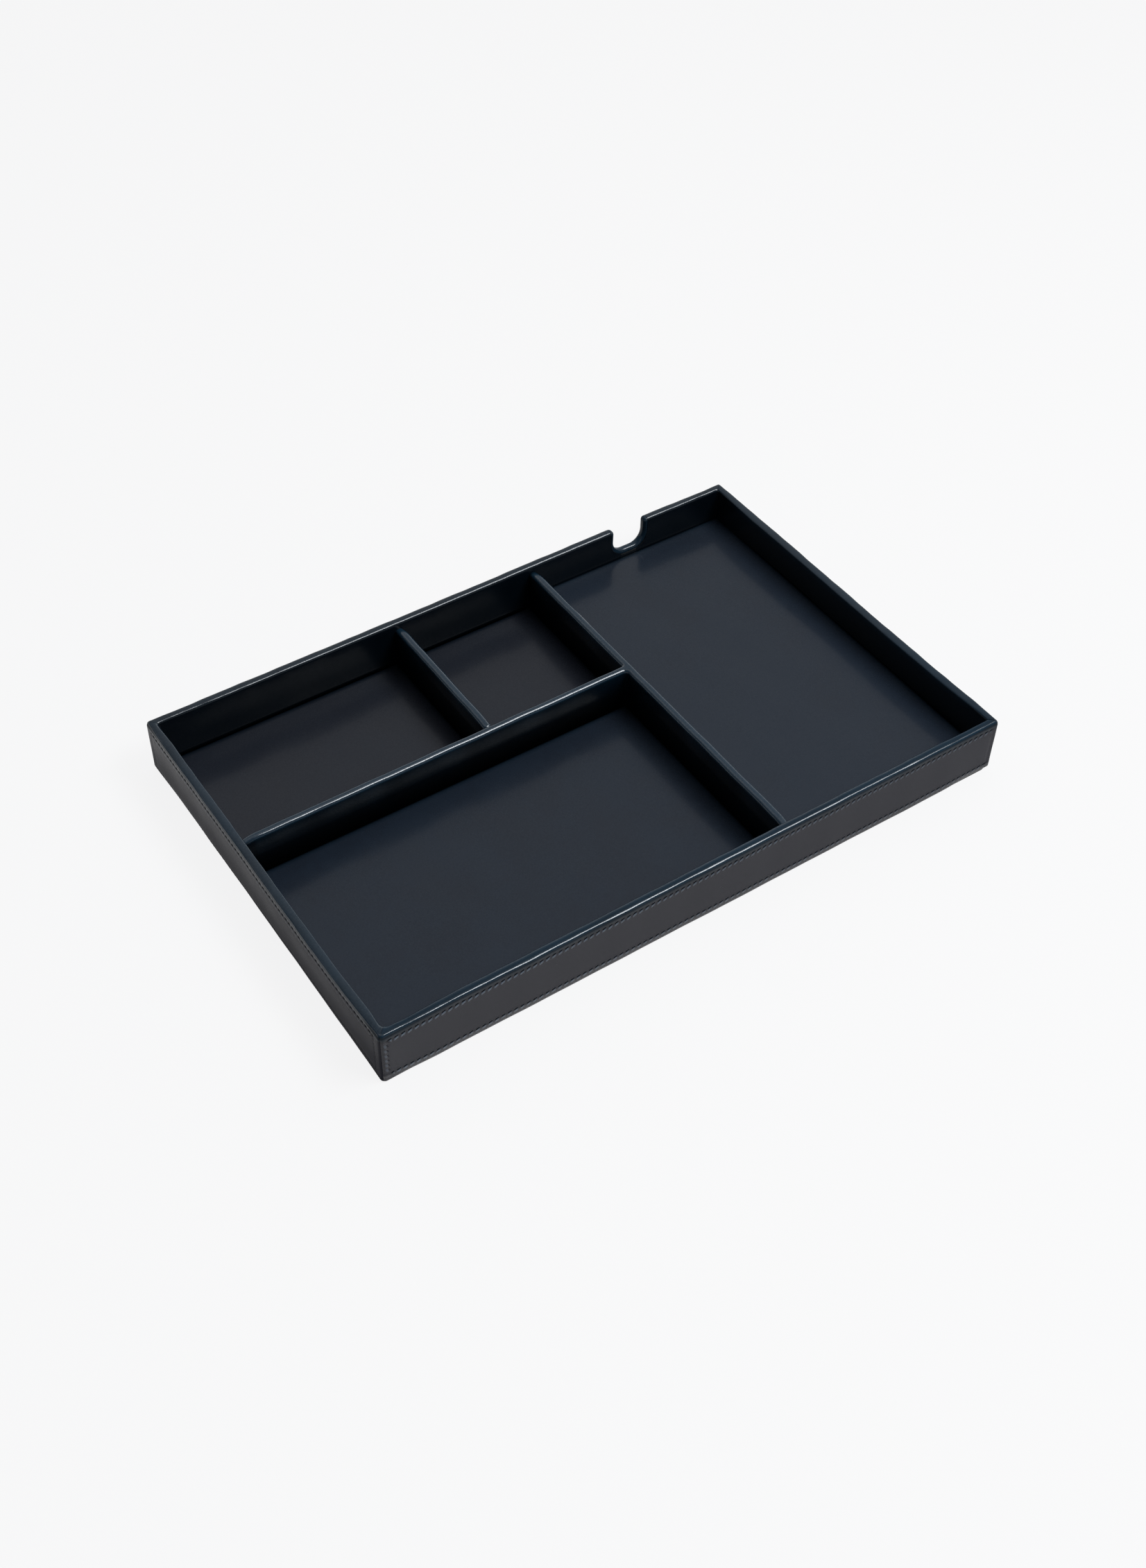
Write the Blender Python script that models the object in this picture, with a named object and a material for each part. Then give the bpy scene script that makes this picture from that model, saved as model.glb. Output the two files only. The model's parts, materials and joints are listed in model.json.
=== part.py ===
"""A leather-covered valet tray with a wireless charging bay.

Lengths are in metres. The origin lies on the supporting surface under the middle of the tray.
+X runs to the right along the front wall, +Y runs back to the notched wall, and +Z is up.
"""

import math
from collections import namedtuple

import bmesh
import bpy
from mathutils import Matrix

# Overall size of the leather-covered walls
TRAY_LENGTH = 0.3000
TRAY_WIDTH = 0.1950
WALL_HEIGHT = 0.0255

# Clear sizes between the linings of the bays
CHARGING_BAY_WIDTH = 0.1034
MIDDLE_BAY_WIDTH = 0.0668
REAR_BAY_DEPTH = 0.0740

# Sheet stock
LEATHER = 0.0006
WALL_BOARD = 0.0022
DIVIDER_BOARD = 0.0022
FLOOR_BOARD = 0.0020
DECK_BOARD = 0.0015
BASE_PANEL = 0.0012

# Play left between touching pieces, and how far a cutter runs past what it cuts
CLEARANCE = 0.0003
OVERRUN = 0.0010

# Rounding of the boards, which the leather follows
WALL_BOARD_EDGE = 0.0003
DIVIDER_BOARD_EDGE = 0.0006
DECK_BOARD_EDGE = 0.0003
DECK_BOARD_CORNER = 0.0010
FLOOR_LEATHER_CORNER = 0.0010
FLOOR_LEATHER_EDGE = 0.0003

# The base panel stands in from the outer faces of the walls, more at the ends of the tray
BASE_END_INSET = 0.0015
BASE_FACE_INSET = 0.0003
BASE_CORNER = 0.0020
BASE_EDGE = 0.0003

# The dividers stop below the rim, and their tops slope down where they meet an outer wall
DIVIDER_DROP = 0.0015
DIP_LENGTH = 0.0080
DIP_DROP = 0.0014

# Cut-out in the back wall, in the middle of the charging bay
NOTCH_WIDTH = 0.0166
NOTCH_DEPTH = 0.0125
NOTCH_CORNER = 0.0060

# Charger under the deck
CHARGER_RADIUS = 0.0330
CHARGER_WALL = 0.0012
CHARGER_FLOOR = 0.0006
CHARGER_ROOF = 0.0005
LIP_DEPTH = 0.0010
LIP_WALL = 0.0010
CIRCUIT_BOARD = 0.0008
CIRCUIT_PLAY = 0.0010
FERRITE = 0.0005
FERRITE_MARGIN = 0.0035
COIL = 0.0008
COIL_MARGIN = 0.0020
COIL_WIDTH = 0.0140

# Strips that carry the deck
RISER_WIDTH = 0.0060

# Power inlet under the notch
SOCKET_WIDTH = 0.00894
SOCKET_HEIGHT = 0.0032
SOCKET_DEPTH = 0.00735
SOCKET_WALL = 0.0003
SOCKET_SETBACK = 0.0005
TONGUE_WIDTH = 0.0067
TONGUE_HEIGHT = 0.0007
TONGUE_LENGTH = 0.0045
BEZEL_WALL = 0.0007
BEZEL_RIM = 0.0006
INLET_BOARD = 0.0008
INLET_BOARD_WIDTH = 0.0140
INLET_BOARD_LENGTH = 0.0172
LEAD_DIAMETER = 0.0022
LEAD_LAP = 0.0040

# Counts and angles
ARC_STEPS = 5
CORNER_STEPS = 6
DIP_STEPS = 8
TURN_STEPS = 56
LEAD_STEPS = 2
QUARTER_TURN = math.pi / 2
HALF_TURN = math.pi
FULL_TURN = 2 * math.pi
SHARP_ANGLE = math.radians(32)
MERGE_DISTANCE = 0.000001

# Finish: base colour, roughness, metallic
NAVY_LEATHER = ((0.010, 0.015, 0.024), 0.36, 0.0)
DECK_LEATHER = ((0.012, 0.018, 0.028), 0.30, 0.0)
FIBREBOARD = ((0.36, 0.25, 0.15), 0.85, 0.0)
BLACK_CARD = ((0.012, 0.012, 0.013), 0.75, 0.0)
BLACK_PLASTIC = ((0.018, 0.018, 0.020), 0.45, 0.0)
GREEN_LAMINATE = ((0.02, 0.16, 0.07), 0.40, 0.0)
GREY_FERRITE = ((0.06, 0.06, 0.065), 0.60, 0.1)
COPPER_WIRE = ((0.72, 0.33, 0.14), 0.35, 1.0)
STEEL_SHELL = ((0.55, 0.56, 0.58), 0.30, 1.0)

# Sections worked out from the sizes above
WALL = 2 * (LEATHER + CLEARANCE) + WALL_BOARD
DIVIDER = 2 * (LEATHER + CLEARANCE) + DIVIDER_BOARD
HALF_LENGTH = TRAY_LENGTH / 2
HALF_WIDTH = TRAY_WIDTH / 2
INNER_X = HALF_LENGTH - WALL
INNER_Y = HALF_WIDTH - WALL
MITRE_SETBACK = CLEARANCE / math.sqrt(2)

# Heights worked out from the sizes above
WALL_BOTTOM = BASE_PANEL + CLEARANCE
RIM = WALL_BOTTOM + WALL_HEIGHT
LINING_BOTTOM = WALL_BOTTOM + FLOOR_BOARD + CLEARANCE
CIRCUIT_BOTTOM = LINING_BOTTOM + CHARGER_FLOOR + CLEARANCE
FERRITE_BOTTOM = CIRCUIT_BOTTOM + CIRCUIT_BOARD + CLEARANCE
COIL_BOTTOM = FERRITE_BOTTOM + FERRITE + CLEARANCE
ROOF_BOTTOM = COIL_BOTTOM + COIL + CLEARANCE
CHARGER_TOP = ROOF_BOTTOM + CHARGER_ROOF
DECK_BOTTOM = CHARGER_TOP + CLEARANCE
DECK_TOP = DECK_BOTTOM + DECK_BOARD + CLEARANCE + LEATHER
SOCKET_BOTTOM = LINING_BOTTOM + INLET_BOARD + CLEARANCE
INLET_Z = SOCKET_BOTTOM + SOCKET_HEIGHT / 2

# Middle lines of the dividers
LONG_DIVIDER_X = INNER_X - CHARGING_BAY_WIDTH - DIVIDER / 2
SHORT_DIVIDER_X = LONG_DIVIDER_X - MIDDLE_BAY_WIDTH - DIVIDER
CROSS_DIVIDER_Y = INNER_Y - REAR_BAY_DEPTH - DIVIDER / 2

Bay = namedtuple("Bay", "left right front back")
CHARGING_BAY = Bay(LONG_DIVIDER_X + DIVIDER / 2, INNER_X, -INNER_Y, INNER_Y)
FRONT_BAY = Bay(-INNER_X, LONG_DIVIDER_X - DIVIDER / 2, -INNER_Y, CROSS_DIVIDER_Y - DIVIDER / 2)
REAR_LEFT_BAY = Bay(-INNER_X, SHORT_DIVIDER_X - DIVIDER / 2, CROSS_DIVIDER_Y + DIVIDER / 2, INNER_Y)
REAR_MIDDLE_BAY = Bay(SHORT_DIVIDER_X + DIVIDER / 2, FRONT_BAY.right, REAR_LEFT_BAY.front, INNER_Y)

CHARGER_X = (CHARGING_BAY.left + CHARGING_BAY.right) / 2
NOTCH_X = CHARGER_X
NOTCH_BOTTOM = RIM - NOTCH_DEPTH

# Each wall: half its run, how far its outer face is from the middle, and its turn about Z
Side = namedtuple("Side", "half_run distance turn")
SIDES = {
    "front": Side(HALF_LENGTH, HALF_WIDTH, 0),
    "right": Side(HALF_WIDTH, HALF_LENGTH, QUARTER_TURN),
    "back": Side(HALF_LENGTH, HALF_WIDTH, HALF_TURN),
    "left": Side(HALF_WIDTH, HALF_LENGTH, 3 * QUARTER_TURN),
}


def clear_scene():
    for obj in list(bpy.data.objects):
        bpy.data.objects.remove(obj, do_unlink=True)


def make_material(name, finish):
    colour, roughness, metallic = finish
    material = bpy.data.materials.new(name)
    material.use_nodes = True
    shader = material.node_tree.nodes["Principled BSDF"]
    shader.inputs["Base Color"].default_value = (*colour, 1)
    shader.inputs["Roughness"].default_value = roughness
    shader.inputs["Metallic"].default_value = metallic
    return material


def place_object(name, data, parent, place=(0, 0, 0), turn=0):
    obj = bpy.data.objects.new(name, data)
    bpy.context.scene.collection.objects.link(obj)
    obj.location = place
    obj.rotation_euler = (0, 0, turn)
    obj.parent = parent
    return obj


def finish_mesh(name, shape):
    bmesh.ops.recalc_face_normals(shape, faces=shape.faces)
    mesh = bpy.data.meshes.new(name)
    shape.to_mesh(mesh)
    shape.free()
    mesh.shade_smooth()
    mesh.set_sharp_from_angle(angle=SHARP_ANGLE)
    return mesh


def add_piece(name, shape, finish, parent, place=(0, 0, 0), turn=0):
    """Turns a bmesh into a named sub-part with its own material."""
    obj = place_object(name, finish_mesh(name, shape), parent, place, turn)
    obj.data.materials.append(make_material(name, finish))
    return obj


def add_cutter(name, shape, parent):
    """A cutter shows as a wire and is left out of the model."""
    obj = place_object(name, finish_mesh(name, shape), parent)
    obj.hide_render = True
    obj.display_type = "WIRE"
    return obj


def combine(obj, cutter, operation="DIFFERENCE"):
    modifier = obj.modifiers.new(cutter.name, "BOOLEAN")
    modifier.operation = operation
    modifier.object = cutter


def arc(centre, radius, start, end, steps=ARC_STEPS):
    """Points from the start angle to the end angle, both ends included."""
    angles = [start + (end - start) * step / steps for step in range(steps + 1)]
    return [(centre[0] + radius * math.cos(a), centre[1] + radius * math.sin(a)) for a in angles]


def extrude_outline(points, direction):
    """Makes a closed solid from an outline of 3-D points, pushed along a vector."""
    shape = bmesh.new()
    face = shape.faces.new([shape.verts.new(point) for point in points])
    pushed = bmesh.ops.extrude_face_region(shape, geom=[face])
    verts = [item for item in pushed["geom"] if isinstance(item, bmesh.types.BMVert)]
    bmesh.ops.translate(shape, verts=verts, vec=direction)
    return shape


def bevel(shape, edges, radius, steps):
    bmesh.ops.bevel(
        shape, geom=edges, offset=radius, segments=steps, profile=0.5, affect="EDGES", material=-1
    )


def along(edge, axis):
    first, second = edge.verts
    return abs((second.co - first.co).normalized()[axis]) > math.cos(SHARP_ANGLE)


def rounded_block(bay, bottom, top, inset, corner=0, edge=0, edge_at_top=True):
    """A flat block that fills a bay, drawn in by an inset, with round corners and one round edge."""
    size = (bay.right - bay.left - 2 * inset, bay.back - bay.front - 2 * inset, top - bottom)
    middle = ((bay.left + bay.right) / 2, (bay.front + bay.back) / 2, (bottom + top) / 2)
    shape = bmesh.new()
    bmesh.ops.create_cube(shape, size=1)
    bmesh.ops.scale(shape, verts=shape.verts, vec=size)
    bmesh.ops.translate(shape, verts=shape.verts, vec=middle)
    if corner:
        bevel(shape, [e for e in shape.edges if along(e, 2)], corner, CORNER_STEPS)
    if edge:
        higher = 1 if edge_at_top else -1
        level = [e for e in shape.edges if all(higher * (v.co.z - middle[2]) > 0 for v in e.verts)]
        bevel(shape, level, edge, ARC_STEPS)
    return shape


def turned(profile, closed=False):
    """Turns a profile of (radius, height) points round the Z axis."""
    shape = bmesh.new()
    verts = [shape.verts.new((radius, 0, height)) for radius, height in profile]
    pairs = list(zip(verts, verts[1:]))
    if closed:
        pairs.append((verts[-1], verts[0]))
    edges = [shape.edges.new(pair) for pair in pairs]
    bmesh.ops.spin(
        shape, geom=verts + edges, cent=(0, 0, 0), axis=(0, 0, 1), angle=FULL_TURN,
        steps=TURN_STEPS, use_merge=True
    )
    bmesh.ops.remove_doubles(shape, verts=shape.verts, dist=MERGE_DISTANCE)
    return shape


def slot_outline(centre_x, centre_z, width, height, depth):
    """An outline with half-round ends in the plane at the given depth, seen from the back."""
    radius = height / 2
    reach = width / 2 - radius
    right = arc((centre_x + reach, centre_z), radius, -QUARTER_TURN, QUARTER_TURN, 2 * ARC_STEPS)
    left = arc((centre_x - reach, centre_z), radius, QUARTER_TURN, 3 * QUARTER_TURN, 2 * ARC_STEPS)
    return [(x, depth, z) for x, z in right + left]


def slot_block(width, height, front, back, centre_x=NOTCH_X, centre_z=INLET_Z):
    return extrude_outline(slot_outline(centre_x, centre_z, width, height, front), (0, back - front, 0))


# Walls: a section in depth from the outer face and height, swept between two mitres


def wall_leather_section():
    """Turned in under the board, up the outside, over the rim and down to the floor board."""
    fold = LEATHER + CLEARANCE
    round_rim = fold + WALL_BOARD_EDGE
    foot = (fold, WALL_BOTTOM + fold)
    outer_rim = (round_rim, RIM - round_rim)
    inner_rim = (WALL - round_rim, RIM - round_rim)
    turn_in = fold + WALL_BOARD
    outside = [(turn_in, WALL_BOTTOM)]
    outside += arc(foot, fold, -QUARTER_TURN, -HALF_TURN)
    outside += arc(outer_rim, round_rim, HALF_TURN, QUARTER_TURN)
    outside += arc(inner_rim, round_rim, QUARTER_TURN, 0)
    outside.append((WALL, LINING_BOTTOM))
    inside = [(WALL - LEATHER, LINING_BOTTOM)]
    inside += arc(inner_rim, round_rim - LEATHER, 0, QUARTER_TURN)
    inside += arc(outer_rim, round_rim - LEATHER, QUARTER_TURN, HALF_TURN)
    inside += arc(foot, fold - LEATHER, -HALF_TURN, -QUARTER_TURN)
    inside.append((turn_in, WALL_BOTTOM + LEATHER))
    return outside + inside


def wall_envelope_section():
    """The outside of the leather closed across the wall, to trim the notch lining to the rim."""
    round_rim = LEATHER + CLEARANCE + WALL_BOARD_EDGE
    section = [(0, WALL_BOTTOM)]
    section += arc((round_rim, RIM - round_rim), round_rim, HALF_TURN, QUARTER_TURN)
    section += arc((WALL - round_rim, RIM - round_rim), round_rim, QUARTER_TURN, 0)
    section.append((WALL, WALL_BOTTOM))
    return section


def wall_board_section():
    fold = LEATHER + CLEARANCE
    top = RIM - fold - WALL_BOARD_EDGE
    section = [(fold, WALL_BOTTOM + fold)]
    section += arc((fold + WALL_BOARD_EDGE, top), WALL_BOARD_EDGE, HALF_TURN, QUARTER_TURN)
    section += arc((fold + WALL_BOARD - WALL_BOARD_EDGE, top), WALL_BOARD_EDGE, QUARTER_TURN, 0)
    section.append((fold + WALL_BOARD, WALL_BOTTOM + fold))
    return section


def mitred_sweep(section, half_run):
    shape = bmesh.new()
    end = [
        shape.verts.new((depth + MITRE_SETBACK - half_run, depth, height)) for depth, height in section
    ]
    swept = bmesh.ops.extrude_face_region(shape, geom=[shape.faces.new(end)])
    for item in swept["geom"]:
        if isinstance(item, bmesh.types.BMVert):
            item.co.x = -item.co.x
    return shape


def build_walls(parent):
    pieces = {}
    for name, side in SIDES.items():
        place = (side.distance * math.sin(side.turn), -side.distance * math.cos(side.turn), 0)
        for kind, section, finish in (
            ("leather", wall_leather_section(), NAVY_LEATHER),
            ("board", wall_board_section(), FIBREBOARD),
        ):
            shape = mitred_sweep(section, side.half_run)
            full_name = f"{name}_wall_{kind}"
            pieces[full_name] = add_piece(full_name, shape, finish, parent, place, side.turn)
    return pieces


def notch_outline(grow, top):
    """The cut-out seen from the front, grown outwards on its three sides."""
    radius = NOTCH_CORNER + grow
    half = NOTCH_WIDTH / 2 + grow
    low = NOTCH_BOTTOM - grow + radius
    left = arc((NOTCH_X - half + radius, low), radius, HALF_TURN, 3 * QUARTER_TURN, CORNER_STEPS)
    right = arc((NOTCH_X + half - radius, low), radius, -QUARTER_TURN, 0, CORNER_STEPS)
    return [(NOTCH_X - half, top)] + left + right + [(NOTCH_X + half, top)]


def notch_block(grow, top, front, back):
    points = [(x, front, z) for x, z in notch_outline(grow, top)]
    return extrude_outline(points, (0, back - front, 0))


def build_notch(pieces, parent):
    """Cuts the back wall, and lines the cut with a strip of leather as wide as the wall."""
    front = INNER_Y - OVERRUN
    back = HALF_WIDTH + OVERRUN
    cutter = add_cutter("notch_cutter", notch_block(LEATHER + CLEARANCE, RIM + OVERRUN, front, back), parent)
    combine(pieces["back_wall_leather"], cutter)
    combine(pieces["back_wall_board"], cutter)
    outer = [(x, INNER_Y, z) for x, z in notch_outline(LEATHER, RIM)]
    inner = [(x, INNER_Y, z) for x, z in notch_outline(0, RIM)]
    strip = extrude_outline(outer + inner[::-1], (0, WALL, 0))
    lining = add_piece("notch_lining", strip, NAVY_LEATHER, parent)
    envelope = mitred_sweep(wall_envelope_section(), HALF_LENGTH)
    half_turn = Matrix.Rotation(HALF_TURN, 3, "Z")
    bmesh.ops.rotate(envelope, verts=envelope.verts, matrix=half_turn)
    bmesh.ops.translate(envelope, verts=envelope.verts, vec=(0, HALF_WIDTH, 0))
    combine(lining, add_cutter("rim_envelope", envelope, parent), "INTERSECT")


# Dividers: a side view with sloped ends, pushed to the divider's thickness


def divider_outline(length, height, inset, dips):
    """Side view from the floor board up. A dip is a shallow arc that leaves the top and ends low."""
    half = length / 2
    sag_radius = (DIP_LENGTH**2 + DIP_DROP**2) / (2 * DIP_DROP)
    reach = DIP_LENGTH - inset
    slope = math.asin(reach / (sag_radius - inset))
    centre_z = height - sag_radius
    start_dip, end_dip = dips
    points = [(half - inset, 0)]
    if end_dip:
        centre = (half - DIP_LENGTH, centre_z)
        points += arc(centre, sag_radius - inset, QUARTER_TURN - slope, QUARTER_TURN, DIP_STEPS)
    else:
        points.append((half - inset, height - inset))
    if start_dip:
        centre = (DIP_LENGTH - half, centre_z)
        points += arc(centre, sag_radius - inset, QUARTER_TURN, QUARTER_TURN + slope, DIP_STEPS)
    else:
        points.append((inset - half, height - inset))
    points.append((inset - half, 0))
    return points


def divider_slab(length, inset, dips, foot=0):
    """Leather-sized at no inset, cavity-sized at one leather, board-sized with the clearance too."""
    height = RIM - DIVIDER_DROP - LINING_BOTTOM
    half_thickness = DIVIDER / 2 - inset
    outline = divider_outline(length, height, inset, dips)
    points = [(x, -half_thickness, LINING_BOTTOM + z if z else LINING_BOTTOM - foot) for x, z in outline]
    shape = extrude_outline(points, (0, 2 * half_thickness, 0))
    bottom = LINING_BOTTOM - foot + MERGE_DISTANCE
    edges = [
        edge for edge in shape.edges
        if not along(edge, 1) and any(vert.co.z > bottom for vert in edge.verts)
    ]
    edge_radius = DIVIDER_BOARD_EDGE + LEATHER + CLEARANCE - inset
    bevel(shape, edges, edge_radius, ARC_STEPS)
    return shape


def add_divider(name, length, dips, place, turn, parent):
    board = divider_slab(length, LEATHER + CLEARANCE, dips)
    add_piece(f"{name}_divider_board", board, FIBREBOARD, parent, place, turn)
    leather = add_piece(
        f"{name}_divider_leather", divider_slab(length, 0, dips), NAVY_LEATHER, parent, place, turn
    )
    cavity = add_cutter(f"{name}_divider_cavity", divider_slab(length, LEATHER, dips, OVERRUN), parent)
    cavity.location = place
    cavity.rotation_euler = (0, 0, turn)
    combine(leather, cavity)


def build_dividers(parent):
    long_length = 2 * (INNER_Y - CLEARANCE)
    add_divider("long", long_length, (True, True), (LONG_DIVIDER_X, 0, 0), QUARTER_TURN, parent)
    cross_start = FRONT_BAY.left + CLEARANCE
    cross_end = FRONT_BAY.right - CLEARANCE
    cross_place = ((cross_start + cross_end) / 2, CROSS_DIVIDER_Y, 0)
    add_divider("cross", cross_end - cross_start, (True, False), cross_place, 0, parent)
    short_start = REAR_LEFT_BAY.front + CLEARANCE
    short_end = REAR_LEFT_BAY.back - CLEARANCE
    short_place = (SHORT_DIVIDER_X, (short_start + short_end) / 2, 0)
    add_divider("short", short_end - short_start, (False, True), short_place, QUARTER_TURN, parent)


# Floors


def build_floors(parent):
    outer = Bay(-HALF_LENGTH, HALF_LENGTH, -HALF_WIDTH, HALF_WIDTH)
    end = HALF_LENGTH - BASE_END_INSET
    face = HALF_WIDTH - BASE_FACE_INSET
    base = rounded_block(
        Bay(-end, end, -face, face), 0, BASE_PANEL, 0, BASE_CORNER, BASE_EDGE, edge_at_top=False
    )
    add_piece("base_panel", base, BLACK_CARD, parent)
    board_inset = LEATHER + CLEARANCE + WALL_BOARD + CLEARANCE
    floor = rounded_block(outer, WALL_BOTTOM, WALL_BOTTOM + FLOOR_BOARD, board_inset)
    add_piece("floor_board", floor, FIBREBOARD, parent)
    for name, bay in (("front", FRONT_BAY), ("rear_left", REAR_LEFT_BAY), ("rear_middle", REAR_MIDDLE_BAY)):
        sheet = rounded_block(
            bay, LINING_BOTTOM, LINING_BOTTOM + LEATHER, CLEARANCE, FLOOR_LEATHER_CORNER, FLOOR_LEATHER_EDGE
        )
        add_piece(f"{name}_floor_leather", sheet, NAVY_LEATHER, parent)


def build_deck(parent):
    """A raised floor in the charging bay: a board on strips, with leather folded over its edges."""
    fold = LEATHER + CLEARANCE
    board = rounded_block(
        CHARGING_BAY, DECK_BOTTOM, DECK_BOTTOM + DECK_BOARD, CLEARANCE + fold,
        DECK_BOARD_CORNER, DECK_BOARD_EDGE
    )
    add_piece("deck_board", board, FIBREBOARD, parent)
    skin = rounded_block(
        CHARGING_BAY, DECK_BOTTOM, DECK_TOP, CLEARANCE, DECK_BOARD_CORNER + fold, DECK_BOARD_EDGE + fold
    )
    leather = add_piece("deck_leather", skin, DECK_LEATHER, parent)
    hollow = rounded_block(
        CHARGING_BAY, DECK_BOTTOM - OVERRUN, DECK_TOP - LEATHER, fold,
        DECK_BOARD_CORNER + CLEARANCE, DECK_BOARD_EDGE + CLEARANCE
    )
    combine(leather, add_cutter("deck_hollow", hollow, parent))


def build_risers(parent):
    """Strips round the charging bay carry the deck, and leave room for the inlet board."""
    left = CHARGING_BAY.left + RISER_WIDTH + 2 * CLEARANCE
    right = CHARGING_BAY.right - RISER_WIDTH - 2 * CLEARANCE
    front = CHARGING_BAY.front + RISER_WIDTH + 2 * CLEARANCE
    back = CHARGING_BAY.back - RISER_WIDTH - 2 * CLEARANCE
    board_left = NOTCH_X - INLET_BOARD_WIDTH / 2
    board_right = NOTCH_X + INLET_BOARD_WIDTH / 2
    strips = {
        "left": Bay(CHARGING_BAY.left, left, CHARGING_BAY.front, CHARGING_BAY.back),
        "right": Bay(right, CHARGING_BAY.right, CHARGING_BAY.front, CHARGING_BAY.back),
        "front": Bay(left - CLEARANCE, right + CLEARANCE, CHARGING_BAY.front, front),
        "rear_left": Bay(left - CLEARANCE, board_left, back, CHARGING_BAY.back),
        "rear_right": Bay(board_right, right + CLEARANCE, back, CHARGING_BAY.back),
    }
    for name, strip in strips.items():
        shape = rounded_block(strip, LINING_BOTTOM, CHARGER_TOP, CLEARANCE)
        add_piece(f"deck_riser_{name}", shape, FIBREBOARD, parent)


# Charger


def build_charger(parent):
    place = (CHARGER_X, 0, 0)
    inner = CHARGER_RADIUS - CHARGER_WALL
    shell_floor = LINING_BOTTOM + CHARGER_FLOOR
    shell_top = ROOF_BOTTOM - CLEARANCE
    cup = turned([
        (0, LINING_BOTTOM), (CHARGER_RADIUS, LINING_BOTTOM), (CHARGER_RADIUS, shell_top),
        (inner, shell_top), (inner, shell_floor), (0, shell_floor),
    ])
    add_piece("charger_lower_shell", cup, BLACK_PLASTIC, parent, place)
    lip_outer = inner - CLEARANCE
    lip_inner = lip_outer - LIP_WALL
    lip_bottom = ROOF_BOTTOM - LIP_DEPTH
    lid = turned([
        (0, ROOF_BOTTOM), (lip_inner, ROOF_BOTTOM), (lip_inner, lip_bottom), (lip_outer, lip_bottom),
        (lip_outer, ROOF_BOTTOM), (CHARGER_RADIUS, ROOF_BOTTOM), (CHARGER_RADIUS, CHARGER_TOP),
        (0, CHARGER_TOP),
    ])
    add_piece("charger_upper_shell", lid, BLACK_PLASTIC, parent, place)
    circuit_radius = lip_inner - CIRCUIT_PLAY
    ferrite_radius = circuit_radius - FERRITE_MARGIN
    for name, radius, bottom, thickness, finish in (
        ("charger_circuit_board", circuit_radius, CIRCUIT_BOTTOM, CIRCUIT_BOARD, GREEN_LAMINATE),
        ("ferrite_disc", ferrite_radius, FERRITE_BOTTOM, FERRITE, GREY_FERRITE),
    ):
        top = bottom + thickness
        disc = turned([(0, bottom), (radius, bottom), (radius, top), (0, top)])
        add_piece(name, disc, finish, parent, place)
    coil_top = COIL_BOTTOM + COIL
    coil_outer = ferrite_radius - COIL_MARGIN
    coil_inner = coil_outer - COIL_WIDTH
    coil = turned([
        (coil_inner, COIL_BOTTOM), (coil_outer, COIL_BOTTOM),
        (coil_outer, coil_top), (coil_inner, coil_top),
    ], closed=True)
    add_piece("charging_coil", coil, COPPER_WIRE, parent, place)


# Power inlet


def build_bezel(pieces, parent):
    """A rimmed sleeve through the back wall, flush with the leather on both sides."""
    bore_width = SOCKET_WIDTH + 2 * CLEARANCE
    bore_height = SOCKET_HEIGHT + 2 * CLEARANCE
    sleeve_width = bore_width + 2 * BEZEL_WALL
    sleeve_height = bore_height + 2 * BEZEL_WALL
    rim_width = sleeve_width + 2 * BEZEL_RIM
    rim_height = sleeve_height + 2 * BEZEL_RIM
    rim_back = HALF_WIDTH - LEATHER
    rim = add_piece(
        "inlet_bezel", slot_block(rim_width, rim_height, rim_back, HALF_WIDTH), BLACK_PLASTIC, parent
    )
    lap = LEATHER / 2
    sleeve = slot_block(sleeve_width, sleeve_height, INNER_Y, rim_back + lap)
    bore = slot_block(bore_width, bore_height, INNER_Y - OVERRUN, HALF_WIDTH + OVERRUN)
    combine(rim, add_cutter("bezel_sleeve", sleeve, parent), "UNION")
    combine(rim, add_cutter("bezel_bore", bore, parent))
    play = 2 * CLEARANCE
    hole = slot_block(sleeve_width + play, sleeve_height + play, INNER_Y - OVERRUN, HALF_WIDTH + OVERRUN)
    hole_cutter = add_cutter("sleeve_hole", hole, parent)
    combine(pieces["back_wall_leather"], hole_cutter)
    combine(pieces["back_wall_board"], hole_cutter)
    seat = slot_block(rim_width + play, rim_height + play, rim_back - CLEARANCE, HALF_WIDTH + OVERRUN)
    combine(pieces["back_wall_leather"], add_cutter("rim_seat", seat, parent))


def build_inlet(parent):
    """The socket reaches through the bezel and stands on a small board behind the wall."""
    mouth = HALF_WIDTH - SOCKET_SETBACK
    rear = mouth - SOCKET_DEPTH
    shell = add_piece(
        "inlet_socket", slot_block(SOCKET_WIDTH, SOCKET_HEIGHT, rear, mouth), STEEL_SHELL, parent
    )
    inside = slot_block(
        SOCKET_WIDTH - 2 * SOCKET_WALL, SOCKET_HEIGHT - 2 * SOCKET_WALL, rear + SOCKET_WALL, mouth + OVERRUN
    )
    combine(shell, add_cutter("socket_hollow", inside, parent))
    tongue_back = rear + SOCKET_WALL + CLEARANCE
    tongue = slot_block(TONGUE_WIDTH, TONGUE_HEIGHT, tongue_back, tongue_back + TONGUE_LENGTH)
    add_piece("inlet_tongue", tongue, BLACK_PLASTIC, parent)
    board_back = INNER_Y - CLEARANCE
    board_front = board_back - INLET_BOARD_LENGTH
    half = INLET_BOARD_WIDTH / 2
    area = Bay(NOTCH_X - half, NOTCH_X + half, board_front, board_back)
    board = rounded_block(area, LINING_BOTTOM, LINING_BOTTOM + INLET_BOARD, 0)
    add_piece("inlet_board", board, GREEN_LAMINATE, parent)
    build_lead(board_front + LEAD_LAP, parent)


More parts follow.
